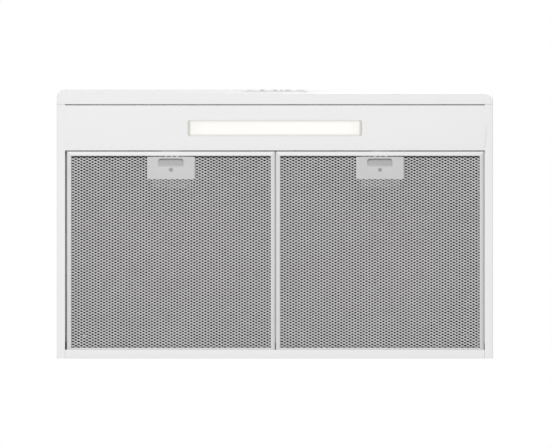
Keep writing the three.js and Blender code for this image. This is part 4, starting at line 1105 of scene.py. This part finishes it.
felt = make_felt()
FELT_CLEAR = 0.0004
FELT_THICK = 0.0012
FELT_EDGE = 0.0002
FELT_LAP = 0.0020
FELT_SHORT = 0.012
LEFT_RISE = 0.003
LINING = 0.0006
LINING_EDGE = 0.00015
LINING_DROP = 0.0008
front_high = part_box("front_panel")[1]
wall_top = side_low.z + UPTURN
felt_level = filter_high.z + FELT_CLEAR
felt_from, felt_to = filter_low.y + FELT_LAP, hinge_y - FELT_SHORT


def felt_strip(name, *blocks):
    """A strip at its level and, where it stands off the fold it is glued to, its foot."""
    parts = [soften(add_block(low, high), lambda a, b: True, FELT_EDGE, 2) for low, high in blocks]
    fit(together(parts), name, "root", felt)


for name, way, edge, rise in (("left_felt", -1, filter_low.x, LEFT_RISE), ("right_felt", 1, right_high.x, 0)):
    wall = way * (opening_half + SHEET)
    x0, x1 = sorted((wall, edge - way * FELT_LAP))
    foot0, foot1 = sorted((wall, way * opening_half))
    level = felt_level + rise
    felt_strip(
        name, ((x0, felt_from, level), (x1, felt_to, level + FELT_THICK)),
        ((foot0, felt_from, wall_top), (foot1, felt_to, level + FELT_THICK / 2)),
    )
lining_low, lining_high = filter_low.z + LINING_DROP, filter_high.z - LINING_DROP
for name, body, edge, way in (
    ("right_lining", "root", opening_half - NEAR / 2, -1),
    ("middle_lining", "left_filter", left_high.x + NEAR / 2, 1),
):
    x0, x1 = sorted((edge, edge + way * LINING))
    lining = add_block((x0, felt_from, lining_low), (x1, felt_to, lining_high))
    fit(soften(lining, lambda a, b: True, LINING_EDGE, 2), name, body, felt)
felt_strip("lip_felt", (
    (-tray_half, front_high.y - SHEET, wall_top), (tray_half, light_low.y + SHEET, wall_top + FELT_THICK)
))
felt_strip(
    "tray_felt",
    ((-tray_half, light_high.y - SHEET, felt_level),
     (tray_half, filter_low.y + FELT_LAP * 0.8, felt_level + FELT_THICK)),
    ((-tray_half, light_high.y - SHEET, wall_top), (tray_half, light_high.y, felt_level + FELT_THICK / 2)),
)


# ---------------------------------------------------------------- Centre bar
# A narrow channel of the casing's coated sheet, from the light panel to the rear wall, above the
# slot between the two filters. It stiffens the tray and closes the slot.
BAR_HALF = 0.007
BAR_RISE = 0.008
BAR_CLEAR = 0.0014
bar_middle = (left_high.x + right_low.x) / 2
bar_level = felt_level + FELT_THICK + BAR_CLEAR
bar = add_block(
    (bar_middle - BAR_HALF, light_high.y - SHEET, bar_level),
    (bar_middle + BAR_HALF, rear_high.y - SHEET, bar_level + BAR_RISE),
)
edit(bar)
drop(lambda at, way: way.z > 0.9 or way.y > 0.9)
round_edges(lambda a, b: ends_at(z=bar_level)(a, b) and abs(a.x - b.x) < NEAR, OUTER_BEND / 2, 3)
close()
thicken(bar)
fit(bar, "centre_bar", "root", powder_coat)


# ---------------------------------------------------------------- Latches
# A pressed aluminium plate with a scooped finger pull, riveted to a slide behind the mesh. A small
# spring holds its tongue in the light panel's slot until the plate is pulled to the rear.
latch_metal = make_aluminium("pressed_aluminium", grey(0.47), grey(0.41), 0.36, (1, 0.05, 1))
dark_steel = make_plain_metal("blackened_steel", (0.33, 0.33, 0.335, 1), 0.45)
dull_zinc = make_galvanised("dull_zinc", (0.20, 0.20, 0.205, 1), (0.12, 0.12, 0.125, 1))
CUP_FROM_FRONT = 0.0037
CUP_LONG = 0.043
CUP_DEEP = 0.015
CUP_RISE = 0.0045
CUP_CORNER = 0.0045
CUP_TOP_BEND = 0.0022
CUP_TOP_REACH = 0.006
CUP_LIP_BEND = 0.0004
CUP_SHADE_SPAN = (0.0001, 0.0012)
CUP_SHADE_DEPTH = 0.28
PLATE_METAL = 0.0008
PLATE_CORNER = 0.0016
SPRING_TURNS = 9
SPRING_WIRE = 0.0003


def shade_the_cup(finish, face):
    """Paint the deep end of the scoop darker, as painted shade inside the finger pull."""
    tree = finish.node_tree
    shader = tree.nodes["Principled BSDF"]
    unshaded = shader.inputs["Base Color"].links[0].from_socket
    start, end = (face + rise for rise in CUP_SHADE_SPAN)
    cup_shade = node(tree, "ShaderNodeMapRange", {
        "Value": ordinate(tree, "Z"), "From Min": start, "From Max": end, "To Max": CUP_SHADE_DEPTH,
    })
    # Painted shade: the colour darkens towards the deep end of the scoop.
    colour = mixed(tree, cup_shade.outputs["Result"], unshaded, (0.10, 0.10, 0.102, 1))
    tree.links.new(colour, shader.inputs["Base Color"])


shade_the_cup(latch_metal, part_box("left_latch_plate")[0].z)


def latch_spring(name):
    """A compression spring: one round section swept in turns, its rear end held by the guide."""
    low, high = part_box(name + "_latch_spring")
    long = high.y - low.y
    coil = (high.x - low.x) / 2 - SPRING_WIRE
    let_go()
    bpy.ops.mesh.primitive_circle_add(
        vertices=8, radius=SPRING_WIRE, location=(coil, 0, 0), rotation=(math.pi / 2, 0, 0)
    )
    made = settle()
    apply_modifier(
        made, "SCREW", axis="Z", angle=math.tau, iterations=SPRING_TURNS, steps=16, render_steps=16,
        screw_offset=(long - 2.2 * SPRING_WIRE) / SPRING_TURNS,
    )
    edit(made)
    weld(0.00001)
    bpy.ops.mesh.fill_holes(sides=8)
    face_out()
    close()
    made.data.transform(
        Matrix.Translation(((low.x + high.x) / 2, low.y + 1.1 * SPRING_WIRE, (low.z + high.z) / 2))
        @ Matrix.Rotation(-math.pi / 2, 4, "X")
    )
    spring = fit(
        made, name + "_latch_coil", BODY_OF[name + "_latch_spring"], bright_steel,
        [name + "_latch_spring"], 60,
    )
    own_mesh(spring)


def latch_plate(name):
    low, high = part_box(name + "_latch_plate")
    middle = (low.x + high.x) / 2
    front, back = low.y + CUP_FROM_FRONT, low.y + CUP_FROM_FRONT + CUP_DEEP
    made = add_block(low, (high.x, high.y, low.z + 0.001))
    edit(made)
    drop(lambda at, way: way.z > -0.9)
    for place, way in (
        ((middle - CUP_LONG / 2, 0, 0), (1, 0, 0)), ((middle + CUP_LONG / 2, 0, 0), (1, 0, 0)),
        ((0, front, 0), (0, 1, 0)), ((0, back, 0), (0, 1, 0)),
    ):
        slice_faces(lambda at, way: True, place, way)

    def in_cup(at, way):
        return abs(at.x - middle) < CUP_LONG / 2 and front < at.y < back

    def on_cup_lip(a, b):
        return ends_at(z=low.z)(a, b) and min(a.y, b.y) < back - NEAR and all(
            abs(end.x - middle) < CUP_LONG / 2 + NEAR and front - NEAR < end.y < back + NEAR for end in (a, b)
        )

    pick("FACE", in_cup)
    bpy.ops.mesh.extrude_region_move(TRANSFORM_OT_translate={"value": (0, 0, CUP_RISE)})
    raised = low.z + CUP_RISE
    pick("VERT", lambda at: abs(at.z - raised) < NEAR and abs(at.y - back) < NEAR)
    bpy.ops.transform.translate(value=(0, 0, -CUP_RISE))
    weld(0.00001)
    round_edges(lambda a, b: abs(a.z - b.z) > 0.003 and ends_at(y=front)(a, b), CUP_CORNER, 6)
    round_edges(
        lambda a, b: ends_at(z=raised)(a, b) and max(a.y, b.y) < front + CUP_TOP_REACH, CUP_TOP_BEND, 4
    )
    round_edges(on_cup_lip, CUP_LIP_BEND, 3)
    close()
    thicken(made, PLATE_METAL, use_even_offset=False)
    corners = [(x, y) for x in (low.x, high.x) for y in (low.y, high.y)]
    soften(
        made,
        lambda a, b: abs(a.z - b.z) > 0.0005 and any(math.hypot(a.x - x, a.y - y) < NEAR for x, y in corners),
        PLATE_CORNER, 4,
    )
    plate = name + "_latch_plate"
    fit(made, name + "_latch_pull", BODY_OF[plate], latch_metal, [plate])
    eased(name + "_latch_slide", 0.0002, galvanised)
    eased(name + "_latch_guide", 0.0002, dull_zinc)
    eased(name + "_latch_rivet", 0.0003, dark_steel, 3)
    latch_spring(name)


for name in ("left", "right"):
    latch_plate(name)


# ---------------------------------------------------------------- Blower
# A galvanised volute screwed under the top panel, with a forward curved wheel on the shaft of an
# induction motor that hangs in the inlet on a three armed bracket; its capacitor stands beside it.
eased("blower_scroll", 0.0004, galvanised)
for name in ("blower_inlet_plate", "motor_bracket"):
    eased(name, 0.0003, galvanised)
coat("blower_wheel", galvanised)
eased("blower_motor", 0.0015, bright_steel, 3)
for name in ("motor_shaft", "wheel_nut"):
    eased(name, 0.0004, bright_steel)
eased("run_capacitor", 0.001, black_plastic, 3)
for name in frame["nodes"]:
    if name.startswith(("motor_bracket_screw", "blower_screw", "wiring_cover_screw")):
        eased(name, 0.0004, bright_steel)


# ---------------------------------------------------------------- Duct collar, damper and wiring box
# The folded collar stands through the top panel and takes the duct; a light flap in it falls shut
# when the blower stops. The wiring box and its rubber bushing take the mains cable.
for name in ("duct_collar", "damper_flap"):
    eased(name, 0.0003, galvanised)
eased("damper_pin", 0.0003, bright_steel)
for name in ("wiring_box", "wiring_cover"):
    eased(name, 0.0003, galvanised)
eased("cable_bushing", 0.0005, black_plastic, 3)


# ---------------------------------------------------------------- Floor
# A plain pale floor, well below the hood so that it never hides it from underneath.
let_go()
bpy.ops.mesh.primitive_plane_add(size=60, location=(0, 0, FLOOR_DROP))
floor = bpy.context.active_object
edit(floor)
bpy.ops.mesh.select_all(action="SELECT")
bpy.ops.mesh.subdivide(number_cuts=4)
close()
settle()
floor.name = "floor"
pale, tree, shader = new_finish("pale_floor")
cloud, grain = grain_of(tree, 1.5, 60.0)
tree.links.new(mixed(tree, cloud, (0.79, 0.79, 0.79, 1), (0.81, 0.81, 0.81, 1)), shader.inputs["Base Color"])
tree.links.new(between(tree, grain, 0.7, 0.8), shader.inputs["Roughness"])
floor.data.materials.append(pale)
